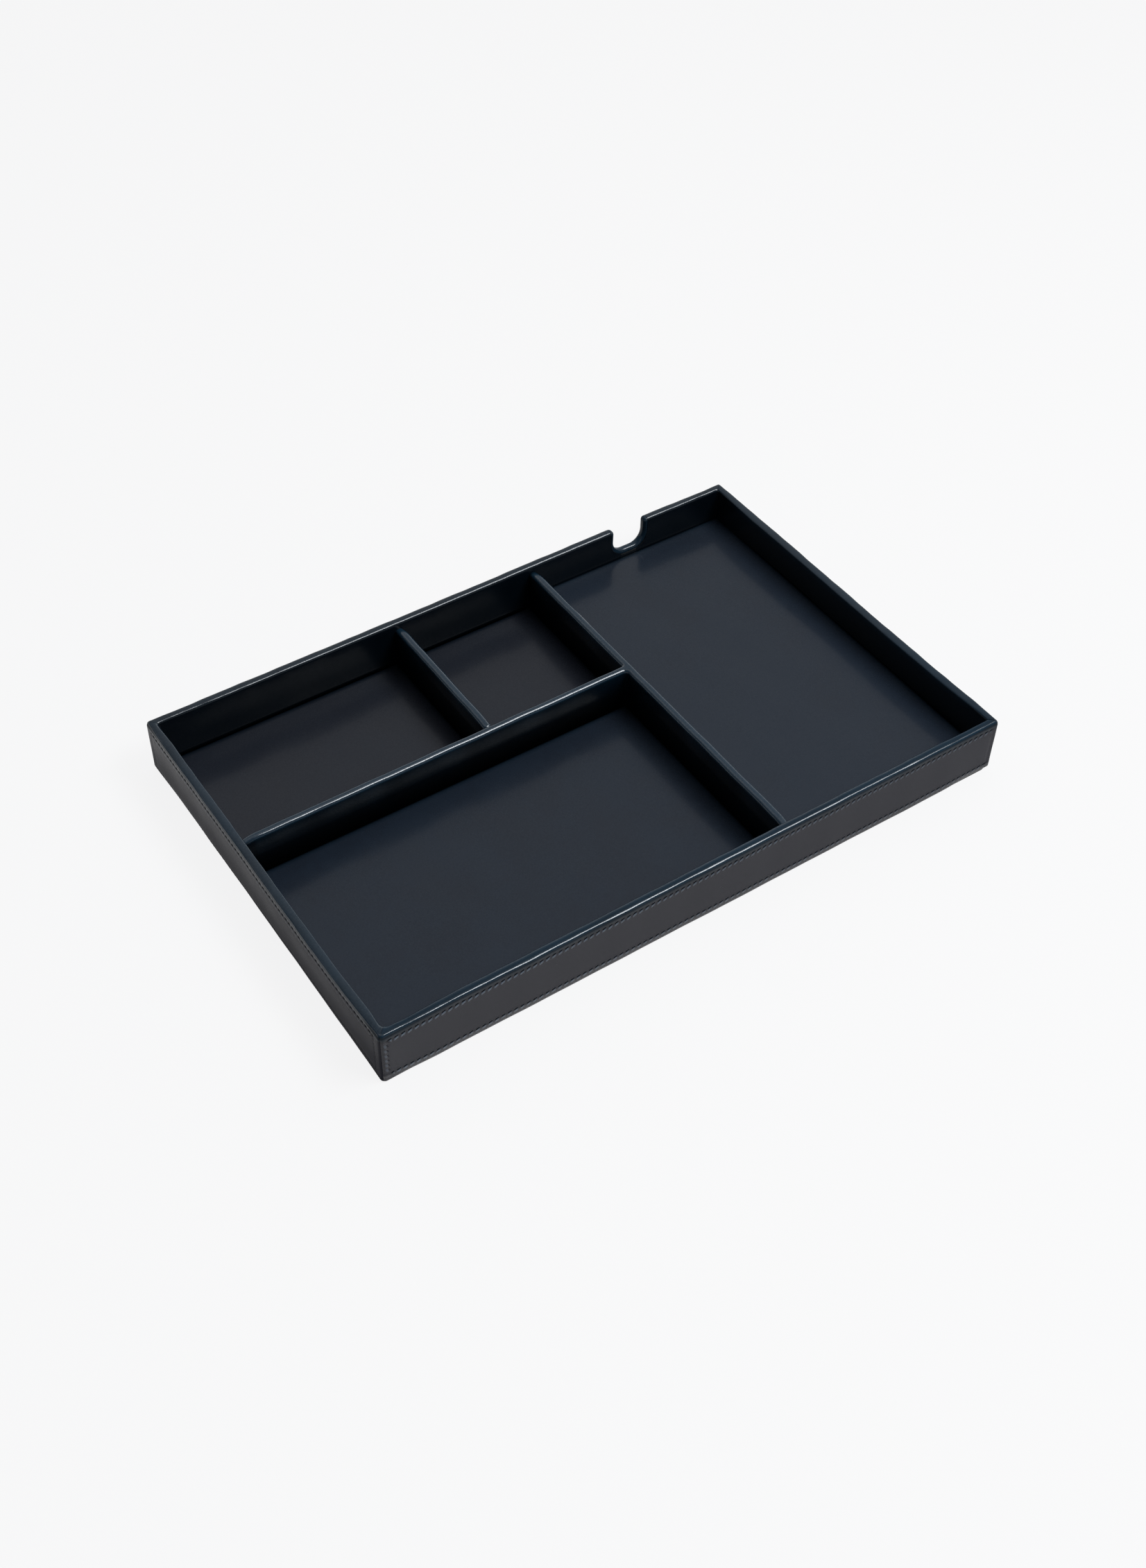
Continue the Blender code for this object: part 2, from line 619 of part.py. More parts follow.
def build_lead(start_y, parent):
    """Two conductors in one sheath, from the inlet board to the side of the charger."""
    radius = LEAD_DIAMETER / 2
    end_y = CHARGER_RADIUS + CLEARANCE
    height = SOCKET_BOTTOM + radius
    curve = bpy.data.curves.new("inlet_lead", "CURVE")
    curve.dimensions = "3D"
    curve.bevel_depth = radius
    curve.bevel_resolution = LEAD_STEPS
    curve.use_fill_caps = True
    spline = curve.splines.new("POLY")
    spline.points.add(1)
    for point, y in zip(spline.points, (start_y, end_y)):
        point.co = (CHARGER_X, y, height, 1)
    curve.materials.append(make_material("inlet_lead", BLACK_PLASTIC))
    place_object("inlet_lead", curve, parent)


def main():
    clear_scene()
    tray = place_object("tray", None, None)
    walls = build_walls(tray)
    build_notch(walls, tray)
    build_bezel(walls, tray)
    build_dividers(tray)
    build_floors(tray)
    build_deck(tray)
    build_risers(tray)
    build_charger(tray)
    build_inlet(tray)


main()
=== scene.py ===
# %% [markdown]
# # A leather valet tray with a charging bay
#
# The real tray is a set of thin boards covered in polished navy leather. Four walls stand round a
# floor, three dividers make four bays, and the floor of the widest bay is raised over a charger.
# Rows of stitches run near the edges of the outer walls, and a rounded notch in the back wall
# lets a cable in.
#
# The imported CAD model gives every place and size. This script keeps its boards and its electrical
# parts, gives them finishes, and puts softer, finer leather where the CAD model has plain skins.

# %% Load the frame
import math

import bmesh
import bpy
import json
import numpy as np
from mathutils import Matrix, Vector


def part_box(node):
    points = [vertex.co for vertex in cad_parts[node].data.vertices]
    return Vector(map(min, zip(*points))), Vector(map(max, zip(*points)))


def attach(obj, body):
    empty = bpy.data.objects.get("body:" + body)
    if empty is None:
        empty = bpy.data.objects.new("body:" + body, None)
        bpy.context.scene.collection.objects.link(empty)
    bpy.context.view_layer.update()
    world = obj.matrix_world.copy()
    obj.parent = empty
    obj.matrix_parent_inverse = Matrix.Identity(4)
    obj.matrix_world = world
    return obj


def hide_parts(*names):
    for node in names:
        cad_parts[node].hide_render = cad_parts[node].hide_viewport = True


MM = 0.001
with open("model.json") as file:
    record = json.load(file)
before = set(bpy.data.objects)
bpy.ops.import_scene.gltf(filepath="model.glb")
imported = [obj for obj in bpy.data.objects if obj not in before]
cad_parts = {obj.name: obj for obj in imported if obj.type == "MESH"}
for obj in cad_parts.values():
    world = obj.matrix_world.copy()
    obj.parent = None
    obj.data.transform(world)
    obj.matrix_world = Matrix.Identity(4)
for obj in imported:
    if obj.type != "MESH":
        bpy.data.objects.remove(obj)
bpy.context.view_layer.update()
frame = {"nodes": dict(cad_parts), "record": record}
nodes = frame["nodes"]

# %% [markdown]
# ## Camera
#
# The picture was taken from above the front left corner with a fairly long lens. A camera can be
# turned by angles or given its three directions: right, up, and back towards the viewer, which
# are the columns of its rotation. The directions are used here, because they came straight from
# the solved view.

# %% Camera
IMAGE_LONG_SIDE = 2261
FOCAL_PIXELS = 2788
SENSOR = 36.0


def add_object(name, data):
    made = bpy.data.objects.new(name, data)
    bpy.context.scene.collection.objects.link(made)
    return made


camera_data = bpy.data.cameras.new("camera")
camera = add_object("camera", camera_data)
bpy.context.scene.camera = camera
camera_data.sensor_width = SENSOR
camera_data.sensor_fit = "AUTO"
camera_data.lens = FOCAL_PIXELS * SENSOR / IMAGE_LONG_SIDE
camera_data.clip_start = 0.01
camera_data.clip_end = 50
view_right = Vector((0.83009, -0.55741, 0.01561))
view_up = Vector((0.39358, 0.60550, 0.69171))
view_back = Vector((-0.39502, -0.56804, 0.72201))
view_point = Vector((-0.3306, -0.47579, 0.59425))
turn = Matrix((view_right, view_up, view_back)).transposed()
camera.matrix_world = Matrix.Translation(view_point) @ turn.to_4x4()
print("lens", round(camera_data.lens, 2), "camera at", tuple(round(v, 3) for v in view_point))

# %% [markdown]
# ## Sizes from the frame
#
# The tray's sizes could be typed in again here, but could then drift from the CAD model. Each is
# read from a CAD node's box, so a piece made here fits the boards that it covers.

# %% Sizes from the frame
HALF_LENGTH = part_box("right_wall_leather")[1].x
HALF_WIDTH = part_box("back_wall_leather")[1].y
WALL_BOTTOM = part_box("front_wall_leather")[0].z
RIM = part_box("front_wall_leather")[1].z
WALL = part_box("front_wall_leather")[1].y + HALF_WIDTH
LINING_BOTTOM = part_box("front_floor_leather")[0].z
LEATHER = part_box("front_floor_leather")[1].z - LINING_BOTTOM
INNER_X = HALF_LENGTH - WALL
INNER_Y = HALF_WIDTH - WALL
notch_low, notch_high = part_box("notch_lining")
print("half size", HALF_LENGTH, HALF_WIDTH, "wall", round(WALL, 4), "rim", round(RIM, 4))

# %% [markdown]
# ## A small language for finishes
#
# A finish is a graph of nodes. Written out node by node it is long and hard to read, so the class
# below wraps a node's output. Adding or multiplying two of them adds a Math node, and `node` adds
# any other kind from its type, its settings and its sockets.


# %% Shader values
class Field:
    """A value that varies over a surface."""

    def __init__(self, tree, socket=None):
        self.tree = tree
        self.socket = socket

    def node(self, kind, settings=None, sockets=None, output=0):
        made = self.tree.nodes.new(kind)
        for name, value in (settings or {}).items():
            setattr(made, name, value)
        self.feed(made, sockets or {})
        return Field(self.tree, made.outputs[output])

    def feed(self, node, sockets):
        """Gives each named socket of a node its value or its link."""
        for name, value in sockets.items():
            if isinstance(value, Field):
                self.tree.links.new(value.socket, node.inputs[name])
            else:
                node.inputs[name].default_value = value

    def math(self, operation, *values):
        return self.node("ShaderNodeMath", {"operation": operation}, dict(enumerate(values)))

    def __add__(self, other):
        return self.math("ADD", self, other)

    def __sub__(self, other):
        return self.math("SUBTRACT", self, other)

    def __rsub__(self, other):
        return self.math("SUBTRACT", other, self)

    def __mul__(self, other):
        return self.math("MULTIPLY", self, other)

    def __abs__(self):
        return self.math("ABSOLUTE", self)

    __radd__ = __add__
    __rmul__ = __mul__

    def ramp(self, low, high):
        """0 where the value is low, 1 where it is high, and smooth between."""
        settings = {"interpolation_type": "SMOOTHSTEP"}
        sockets = {"Value": self, "From Min": low, "From Max": high}
        return self.node("ShaderNodeMapRange", settings, sockets)

    def blend(self, first, second):
        """Mixes two colours by this value."""
        sockets = {"Factor": self, "A": first, "B": second}
        return self.node("ShaderNodeMix", {"data_type": "RGBA"}, sockets, output=2)

    def texture(self, kind, scale, settings=None, output=0, **sockets):
        """A pattern of a kind and scale, read at this place."""
        sockets = {"Vector": self, "Scale": scale, **sockets}
        return self.node("ShaderNodeTex" + kind, settings, sockets, output)

    def bump(self, height, distance, strength, **sockets):
        sockets = {"Height": height, "Distance": distance, "Strength": strength, **sockets}
        return self.node("ShaderNodeBump", sockets=sockets)


def new_finish(name, **constants):
    """A material with its Principled shader; constants go straight on the shader's own sockets."""
    material = bpy.data.materials.new(name)
    material.use_nodes = True
    shader = material.node_tree.nodes["Principled BSDF"]
    for socket, value in constants.items():
        shader.inputs[socket.replace("_", " ")].default_value = value
    return material, shader, Field(material.node_tree)


def colour(red, green, blue):
    return (red, green, blue, 1)


print("shader helpers are ready")

# %% [markdown]
# ## Polished navy leather
#
# The leather is smooth cowhide, dyed navy, and rubbed shiny on the rims. Its colour also holds
# painted light: it is painted blue and lighter on the rims and tops, grey on the pressed outer
# panels, partly as a painted reflection of the pale floor, and nearly black down inside, as painted
# shade. Up close it has fine pores, soft creases and a cloudy colour. A photograph of leather could
# be wrapped on, but noise and cell patterns give the same detail at any distance, need no
# unwrapping, and can be tuned one at a time. Values painted on the mesh say where it is blue, grey
# and polished, and where it is made matt and darker as painted shade. Four more are a map of the
# nearest stitch, where the finish presses a slanted slit, darkened as painted shade, with a raised
# lip, lightened as a painted highlight, finer than the mesh could hold.

# %% Leather finish
# The deep colour is painted shade, for the insides, the divider sides and the floor edges.
LEATHER_IN_SHADE = colour(0.0008, 0.0016, 0.0028)
LEATHER_BLUE = colour(0.0045, 0.0170, 0.0310)
# The panels' grey is partly a painted reflection of the pale floor.
PANEL_GREY = colour(0.0150, 0.0152, 0.0205)
# The slits' colour is painted shade in the stitch holes.
SLIT_SHADE = colour(0.0006, 0.0010, 0.0018)
# The lips' lighter colour is a painted highlight.
LIP_HIGHLIGHT = colour(0.0600, 0.0900, 0.1300)
# Scales of the patterns: the higher, the finer.
CLOUD, MOTTLE, CREASES, PORES, GRAIN = 32, 210, 330, 1500, 1700
CREASE_WARP = 4 * MM
PORE_DEPTH = 0.04 * MM
SLIT_DEPTH = 0.18 * MM


def painted(values, name):
    return values.node("ShaderNodeAttribute", {"attribute_name": name}, output=2)


def stitch_marks(values):
    """Stitch-map masks: the slit under each stitch, a painted shade, and the lip beside it, a
    painted highlight.
    """
    run = painted(values, "stitch_run")
    across = painted(values, "stitch_across")
    shows = painted(values, "stitch_shows")
    step = run - run.math("ROUND", run)
    off = across - step * painted(values, "stitch_lean")
    reach = 1 - abs(step).ramp(0.22, 0.33)
    slit_and_shade = (1 - abs(off).ramp(0.16, 0.38)) * reach * shows
    lip_and_glint = (1 - abs(off + 0.74).ramp(0.15, 0.62)) * (1 - abs(step).ramp(0.14, 0.46)) * shows
    return slit_and_shade, lip_and_glint


def leather_finish():
    material, shader, values = new_finish(
        "navy_leather", IOR=1.2, Coat_Roughness=0.13, Coat_IOR=1.5)
    place = values.node("ShaderNodeTexCoord", output=3)
    cloud = place.texture("Noise", CLOUD, Detail=3)
    mottle = place.texture("Noise", MOTTLE, Detail=4)
    grain = place.texture("Noise", GRAIN, Detail=2)
    pores = place.texture("Voronoi", PORES, Randomness=1.0)
    warp = values.node("ShaderNodeVectorMath", {"operation": "MULTIPLY_ADD"}, {
        0: place.texture("Noise", 120, output=1), 1: (CREASE_WARP,) * 3, 2: place})
    crease = warp.texture("Voronoi", CREASES, {"feature": "DISTANCE_TO_EDGE"})
    panel, blue, polish, dull = (
        painted(values, name) for name in ("panel", "blue", "polish", "dull"))
    slit_and_shade, lip_and_glint = stitch_marks(values)
    lip_and_glint = lip_and_glint * (1 - dull)

    tone = (cloud * 0.5 + mottle * 0.2 + grain * 0.3).ramp(0.36, 0.64)
    # Blue where the painted values are high, the deep colour of painted shade where they are low.
    dyed_and_shaded = (blue * (0.82 + tone * 0.36)).blend(LEATHER_IN_SHADE, LEATHER_BLUE)
    # Where the panel value is high the grey takes over; on the outer walls it is partly a painted
    # reflection.
    panel_base = panel.blend(dyed_and_shaded, PANEL_GREY)
    fold = crease.ramp(0.0, 0.10)
    uneven = 0.33 + (mottle - 0.5) * 0.14 + (cloud - 0.5) * 0.10
    rough = uneven + (1 - fold) * (1 - panel) * 0.04 - panel * 0.10
    height = pores * -0.35 + (fold * 0.30 + mottle) * (1 - panel) + grain * 0.35
    skin = values.bump(height, PORE_DEPTH, 0.6)
    values.feed(shader, {
        # The lips are lightened here as a painted highlight.
        "Base Color": (lip_and_glint * 0.7).blend(panel_base, LIP_HIGHLIGHT),
        "Coat Weight": polish * (0.20 + grain * 1.6) * (1 - slit_and_shade) + lip_and_glint * 0.30,
        "Roughness": rough,
        "Normal": values.bump(lip_and_glint * 0.6 - slit_and_shade, SLIT_DEPTH, 0.9, Normal=skin),
    })

    # A matt, darker copy of the leather, mixed in as painted shade in the slits and the matt
    # places.
    shaded_copy = values.node("ShaderNodeBsdfPrincipled", sockets={
        "Base Color": slit_and_shade.blend(panel_base, SLIT_SHADE), "Roughness": 1.0,
        "Specular IOR Level": 0.0})
    with_shade = values.node("ShaderNodeMixShader", sockets={
        0: dull + slit_and_shade * (0.9 - dull), 1: Field(values.tree, shader.outputs[0]), 2: shaded_copy})
    values.feed(values.tree.nodes["Material Output"], {"Surface": with_shade})
    return material


leather = leather_finish()
print("leather nodes", len(leather.node_tree.nodes))

# %% [markdown]
# ## Tools for soft sheets
#
# Leather over a board is a sheet that follows the board closely but never exactly. Cloth could be
# simulated, but this leather is glued down and can't hang. So each sheet starts from a flat grid
# whose points are moved to their places, and Solidify gives it its thickness, on the side of the
# board.


# %% Sheets from a grid
def soft_step(value, low, high):
    """0 below low, 1 above high, with a smooth rise between."""
    part = np.clip((value - low) / (high - low), 0, 1)
    return part * part * (3 - 2 * part)


def step_mm(value, low, high):
    """The same, with its limits in mm."""
    return soft_step(value, low * MM, high * MM)


def between(start, end, share):
    return start + (end - start) * share


def waver(place, *waves):
    """A gentle unevenness: a sum of waves, each given as (height, length, start)."""
    return sum(high * np.sin(math.tau * place / length + start) for high, length, start in waves)


def shaped_grid(columns, rows, points, **paint):
    """A sheet of columns by rows faces, with each point moved to points[row, column]."""
    sheet = bmesh.new()
    bmesh.ops.create_grid(sheet, x_segments=columns, y_segments=rows, size=1)
    layers = {name: sheet.verts.layers.float.new(name) for name in paint}
    for vert in list(sheet.verts):
        column = round((vert.co.x + 1) / 2 * columns)
        row = round((vert.co.y + 1) / 2 * rows)
        vert.co = points[row, column]
        for name, layer in layers.items():
            vert[layer] = float(paint[name][row, column])
    return sheet


def paint(shape, **rules):
    """Gives each vertex a value for each name, worked out from the vertex."""
    shape.normal_update()
    for name, rule in rules.items():
        layer = shape.verts.layers.float.new(name)
        for vert in shape.verts:
            vert[layer] = float(rule(vert))


def to_object(name, shape):
    mesh = bpy.data.meshes.new(name)
    shape.to_mesh(mesh)
    shape.free()
    return add_object(name, mesh)


def make_piece(name, shape, finish, hides=(), thickness=0.0):
    """Turns a bmesh into a piece that rides on the tray and stands for the CAD nodes it hides."""
    piece = to_object(name, shape)
    piece.data.materials.append(finish)
    piece.data.shade_smooth()
    if thickness:
        skin = piece.modifiers.new("leather thickness", "SOLIDIFY")
        skin.thickness = thickness
        skin.offset = -1
    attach(piece, "root")
    if hides:
        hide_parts(*hides)
    print(name, "with", len(piece.data.polygons), "faces")
    return piece


print("sheet tools are ready")

# %% [markdown]
# ## How the outer walls are covered
#
# Each wall is one strip of leather. It starts under the wall, comes up the outside, rolls over
# the rim and goes down the inside to the floor. A block with bevelled edges would be quicker, but
# its rim would be the same everywhere. Here a line of points, the section, describes the
# leather's path by its depth behind the wall's face and its height. The rim is rounded more on
# one wall than on another, because the strips were pulled by hand, and near the corners all four
# share one section, so the mitres close.

# %% Wall sections
TURN_IN = 3.1 * MM
LIP = 1.25 * MM
ARC_STEPS = 11
FOOT_STEPS = 7
PANEL_LOW, PANEL_HIGH = 7.4 * MM, 19.4 * MM


def arc(centre, reach, start, steps):
    """Points of a quarter ellipse, from the angle start, in degrees, onwards by 90 degrees."""
    angles = np.radians(start + np.linspace(0, 90, steps))
    return [(centre[0] - reach[0] * np.cos(a), centre[1] + reach[1] * np.sin(a)) for a in angles]


def wall_section(outer, inner, foot, sag=0.0):
    """Depths and heights of a wall's leather, from under the wall over the rim to the floor."""
    bottom = WALL_BOTTOM - sag
    foot_top, face_top, lining_top = bottom + foot[1], RIM - outer[1], RIM - inner[1]
    path = [(TURN_IN, WALL_BOTTOM), (LIP, bottom + 0.3 * (WALL_BOTTOM - bottom))]
    angles = np.radians(np.linspace(90, 0, FOOT_STEPS))
    path += [(foot[0] - foot[0] * np.cos(a), foot_top - foot[1] * np.sin(a)) for a in angles]
    heights = np.concatenate([
        np.linspace(foot_top, PANEL_LOW, 10)[1:],
        np.linspace(PANEL_LOW, PANEL_HIGH, 9)[1:],
        np.linspace(PANEL_HIGH, face_top, 10)[1:-1],
    ])
    path += [(0.0, height) for height in heights]
    path += arc((outer[0], face_top), outer, 0, ARC_STEPS)
    path += arc((WALL - inner[0], lining_top), inner, 90, ARC_STEPS)
    path += [(WALL, height) for height in np.linspace(lining_top, LINING_BOTTOM, 8)[1:]]
    return np.array(path)


CORNER_ROUNDS = ((1.5 * MM, 2.2 * MM), (1.5 * MM, 1.5 * MM), (0.6 * MM, 1.2 * MM))
SECTION_ROWS = len(wall_section(*CORNER_ROUNDS)) - 1
print("rows in a wall section", SECTION_ROWS + 1)

# %% [markdown]
# ## What is particular to each wall
#
# No two walls of a hand-covered tray are alike: each has its own rounding, sag and bow, and its
# own rows of stitches. One could model each wall by hand. A table of numbers is easier to tune
# and to read.
#
# Lengths are in mm. `top`, `bottom` and `side` place the rows, and `outer`, `inner` and `foot`
# round the section, as a depth and a height. `sag` is how far the foot hangs at each end, `lift`
# raises the rim, `out` pushes the foot out, `bow` bends the upper part, `swell` fills out the
# inside, and `ridge` is a fold over the top row. `pitch`, `dash`, `slant` and `width` describe
# the stitches, and `shows` says how plainly the top, bottom, left and right rows are seen. The
# rest is for the finish: `groove` paints shade along the rows, `tint`, `gloss` and `fade` colour
# and polish the rim, `tint` and `fade` also painting light and shade into it, `press` shines the
# panel, and `dull` and `rim_dull` make places matt and darker as painted shade.

# %% Walls
PLAIN_WALL = dict(lift=0.0, out=0.0, bow=0.0, bow_middle=0.0, bow_reach=1.0, swell=0.0, ridge=0.0,
                  gloss_turn=(0.0, 1.0), press=1.0, dull=(0.0, 0.0, 0.0, 0.0), rim_dull=0.0)
LONG_ROWS = dict(side=3.0, pitch=2.86, dash=1.7, slant=18, width=1.2)
SHORT_ROWS = dict(top=23.9, bottom=3.8, side=4.6, pitch=2.65, dash=1.65)
OWN_VALUES = {
    "front": dict(
        LONG_ROWS, turns=0, top=23.75, bottom=4.0, outer=(1.6, 1.6), inner=(2.2, 1.8),
        foot=(0.8, 2.9), sag=(1.35, 1.35), lift=0.75, out=0.35, swell=0.55,
        shows=(1.0, 1.0, 0.45, 0.0), groove=(0.25, 0.45), tint=1.0, gloss=(1.0, 0.3),
        gloss_turn=(95, 140), fade=(0.30, 1.0), dull=(0.0, 0.35, 0.0, 0.35), rim_dull=0.5),
    "right": dict(
        SHORT_ROWS, turns=1, slant=4, width=1.3, outer=(1.4, 1.9), inner=(0.7, 0.7),
        foot=(0.5, 1.6), sag=(0.2, 0.2), lift=0.4, swell=0.5, ridge=0.05,
        shows=(0.8, 0.5, 0.4, 0.4), groove=(0.2, 0.3), tint=0.7, gloss=(0.3, 0.65),
        gloss_turn=(-95, 0), fade=(1.0, 0.6), press=0.5, dull=(0.2, 0.2, 0.2, 0.2)),
    "back": dict(
        LONG_ROWS, turns=2, top=24.0, bottom=3.4, outer=(1.9, 1.9), inner=(1.5, 1.9),
        foot=(0.5, 1.6), sag=(0.3, 0.3), lift=0.75, bow=0.5, bow_middle=-80, bow_reach=95,
        swell=0.3, shows=(0.8, 0.6, 0.4, 0.4), groove=(0.2, 0.3), tint=0.5, gloss=(0.7, 0.7),
        fade=(1.0, 1.0)),
    "left": dict(
        SHORT_ROWS, turns=3, slant=3, width=2.1, outer=(0.9, 1.1), inner=(0.7, 0.7),
        foot=(0.9, 2.0), sag=(-0.9, 1.4), bow=0.5, bow_middle=50, bow_reach=105, ridge=0.03,
        shows=(0.95, 0.15, 0.1, 0.2), groove=(0.1, 0.0), tint=0.75, gloss=(1.0, 1.0),
        fade=(0.40, 1.1), press=0.0, dull=(0.42, 0.68, 0.70, 0.84)),
}
LENGTHS = ("top", "bottom", "side", "outer", "inner", "foot", "sag", "lift", "out", "bow",
           "bow_middle", "bow_reach", "swell", "ridge", "pitch", "dash", "width", "gloss_turn")


def in_metres(value):
    return tuple(part * MM for part in value) if isinstance(value, tuple) else value * MM


WALLS = {}
for wall_name, own_values in OWN_VALUES.items():
    WALLS[wall_name] = {**PLAIN_WALL, **own_values}
    for key in LENGTHS:
        WALLS[wall_name][key] = in_metres(WALLS[wall_name][key])
    sizes = (HALF_WIDTH, HALF_LENGTH) if own_values["turns"] % 2 else (HALF_LENGTH, HALF_WIDTH)
    WALLS[wall_name]["half"], WALLS[wall_name]["away"] = sizes
print("walls", list(WALLS))

# %% [markdown]
# ## Stitch rows and the shape they pull
#
# Four rows of stitches frame each outer panel. The thread pulls the leather into a shallow
# groove, and the leather puckers a little between the holes. A bump could hint at that, but its
# shading is what the eye reads first on these walls, so here it is real geometry: a height added
# to the outer face, worked out from the distance to each row.

# %% Stitch rows
NOTCH_MIDDLE = (notch_low.x + notch_high.x) / 2
NOTCH_HALF = (notch_high.x - notch_low.x) / 2 - LEATHER
TOP_ROW_GAP = NOTCH_HALF + 4.3 * MM
bezel_low, bezel_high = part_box("inlet_bezel")
BEZEL_MIDDLE = (bezel_low.x + bezel_high.x) / 2
BOTTOM_ROW_GAP = (bezel_high.x - bezel_low.x) / 2 + 2 * MM
PUCKER_LEAN = math.tan(math.radians(60))
# For the top, bottom and side rows, in mm: how deep the groove is and how wide above and below the
# row, then how high the puckers are, how far from the row they lie, and how wide they are.
ROW_RELIEF = (
    (0.11, (0.6, 0.45), 0.040, -0.9, (0.5, 0.6)),
    (0.11, (0.45, 0.5), 0.035, -1.0, (0.5, 0.5)),
    (0.08, (0.6, 0.6), 0.030, 0.7, (0.5, 0.5)),
)


def groove(across, width_above, width_below):
    """1 in the middle of a stitch row, falling to 0 on both sides of it."""
    return np.exp(-(across / np.where(across > 0, width_above, width_below)) ** 2)


def row_cover(name, along, gap_middle, gap_half):
    """1 where a level row is sewn, 0 past its ends and at a gap in the back wall."""
    wall = WALLS[name]
    cover = step_mm(wall["half"] - np.abs(along) - wall["side"], -0.6, 0.8)
    if name == "back":
        past_gap = np.abs(-along - gap_middle)
        cover = cover * soft_step(past_gap, gap_half - 0.6 * MM, gap_half + 0.6 * MM)
    return cover


def row_distances(name, along, height):
    """For the top, bottom and side rows: distance across the row, and how far it is sewn there."""
    wall = WALLS[name]
    top, bottom = wall["top"], wall["bottom"]
    beside = soft_step(height, bottom - 0.5 * MM, bottom + 0.8 * MM)
    beside = beside * (1 - soft_step(height, top - 0.8 * MM, top + 0.5 * MM))
    return (
        (height - top, row_cover(name, along, NOTCH_MIDDLE, TOP_ROW_GAP)),
        (height - bottom, row_cover(name, along, BEZEL_MIDDLE, BOTTOM_ROW_GAP)),
        (wall["half"] - np.abs(along) - wall["side"], beside),
    )


def relief(name, along, height):
    """How far the outer face stands out, or in, at a place on a wall."""
    wall = WALLS[name]
    top, bottom, side = row_distances(name, along, height)
    rows = (
        (top, top[0], along + PUCKER_LEAN * top[0]),
        (bottom, bottom[0], along + PUCKER_LEAN * bottom[0]),
        (side, np.abs(side[0]), height),
    )
    pulled = puckers = 0.0
    for ((across, cover), beside, phase), shape in zip(rows, ROW_RELIEF):
        deep, groove_widths, high, shift, pucker_widths = shape
        pulled = pulled + deep * groove(across, *in_metres(groove_widths)) * cover
        swing = high * np.cos(math.tau / wall["pitch"] * phase)
        puckers = puckers + swing * groove(beside - shift * MM, *in_metres(pucker_widths)) * cover
    ridge = wall["ridge"] * np.exp(-((top[0] - 1.5 * MM) / (0.6 * MM)) ** 2)
    uneven = waver(along, (0.035, 47 * MM, 0.4), (0.025, 21 * MM, 2.0))
    uneven = uneven + waver(height, (0.02, 17 * MM, 1.0))
    return (uneven - pulled + puckers) * MM + ridge


print("notch half width", round(NOTCH_HALF, 5), "rows with relief", len(ROW_RELIEF))

# %% [markdown]
# ## A map of the stitches
#
# The finish has to know where each stitch lies. A picture of a seam could be unwrapped along the
# rows, but it would blur up close. Instead each point of the mesh stores how many stitches along
# its nearest row it is and how far from it, and the finish draws a sharp slit at every whole
# number, darkened as painted shade, with a lip beside it lightened as a painted highlight.

# %% Stitch map
FAR_FROM_ROWS = 9.0
ROW_REACH = 1.6


def row_starts(name):
    """Number of stitches, and the place of the first one, in a level row and in an upright one."""
    wall = WALLS[name]
    level = int(2 * (wall["half"] - wall["side"]) / wall["pitch"])
    span = wall["top"] - wall["bottom"]
    upright = int(span / wall["pitch"]) - 1
    lowest = wall["bottom"] + span / 2 - upright / 2 * wall["pitch"]
    return (level, -level / 2 * wall["pitch"]), (upright, lowest)


def stitch_map(name, along, height):
    """At each place: stitches along the nearest row, widths across it, its lean, how it shows."""
    wall = WALLS[name]
    (_, first), (_, lowest) = row_starts(name)
    level = (along - first) / wall["pitch"]
    upright = (height - lowest) / wall["pitch"]
    top, bottom, left, right = wall["shows"]
    slant = math.tan(math.radians(wall["slant"])) * wall["pitch"] / wall["width"]
    rows = (
        (level, top, slant),
        (level, bottom, slant),
        (upright, np.where(along < 0, left, right), slant * np.sign(along)),
    )
    starts = (0.0, FAR_FROM_ROWS, 0.0, 0.0)
    run, across, shows, lean = (np.full(along.shape, start) for start in starts)
    for row, (distance, cover) in zip(rows, row_distances(name, along, height)):
        place, strength, tilt = row
        distance = distance / wall["width"]
        nearer = np.abs(distance) < np.minimum(np.abs(across), ROW_REACH)
        run = np.where(nearer, place, run)
        shows = np.where(nearer, strength * cover, shows)
        lean = np.where(nearer, tilt, lean)
        across = np.where(nearer, distance, across)
    return run, across, shows, lean


for wall_name in WALLS:
    print(wall_name, "stitches in each row", [count + 1 for count, _ in row_starts(wall_name)])

# %% [markdown]
# ## Leather round a corner
#
# Where two walls meet, their strips are cut at 45 degrees and meet in a mitre. Seen from above,
# the outer corner is a small round and the inner corner another. The strips could be cut by a
# plane, but sliding their points round the corner keeps the grid whole. Both walls use the
# function below, so they meet. The corners go round the tray from the front left one, each with
# its own rounds and seam.

# %% Round corners
OUTER_ROUNDS = np.array([1.9, 1.4, 1.2, 1.6]) * MM
INNER_ROUNDS = np.array([2.6, 0.9, 0.9, 0.8]) * MM
SEAM_TUCKS = np.array([0.02, 0.35, 0.06, 0.03]) * MM
CORNER_LIFTS = np.array([0.4, 0.8, 0.8, 0.7]) * MM
CORNER_SAGS = np.array([1.1, 0.4, 0.0, 0.0]) * MM
SEAM_GAP = 0.04 * MM
LEAST_REACH = 0.05 * MM
PULL_OUT = 0.7 * MM
PULL_IN = 0.6 * MM


def by_corner(name, along, amounts):
    """Picks the amount that belongs to the corner a place is nearer to."""
    turns = WALLS[name]["turns"]
    return np.where(along < 0, amounts[turns], amounts[(turns + 1) % 4])


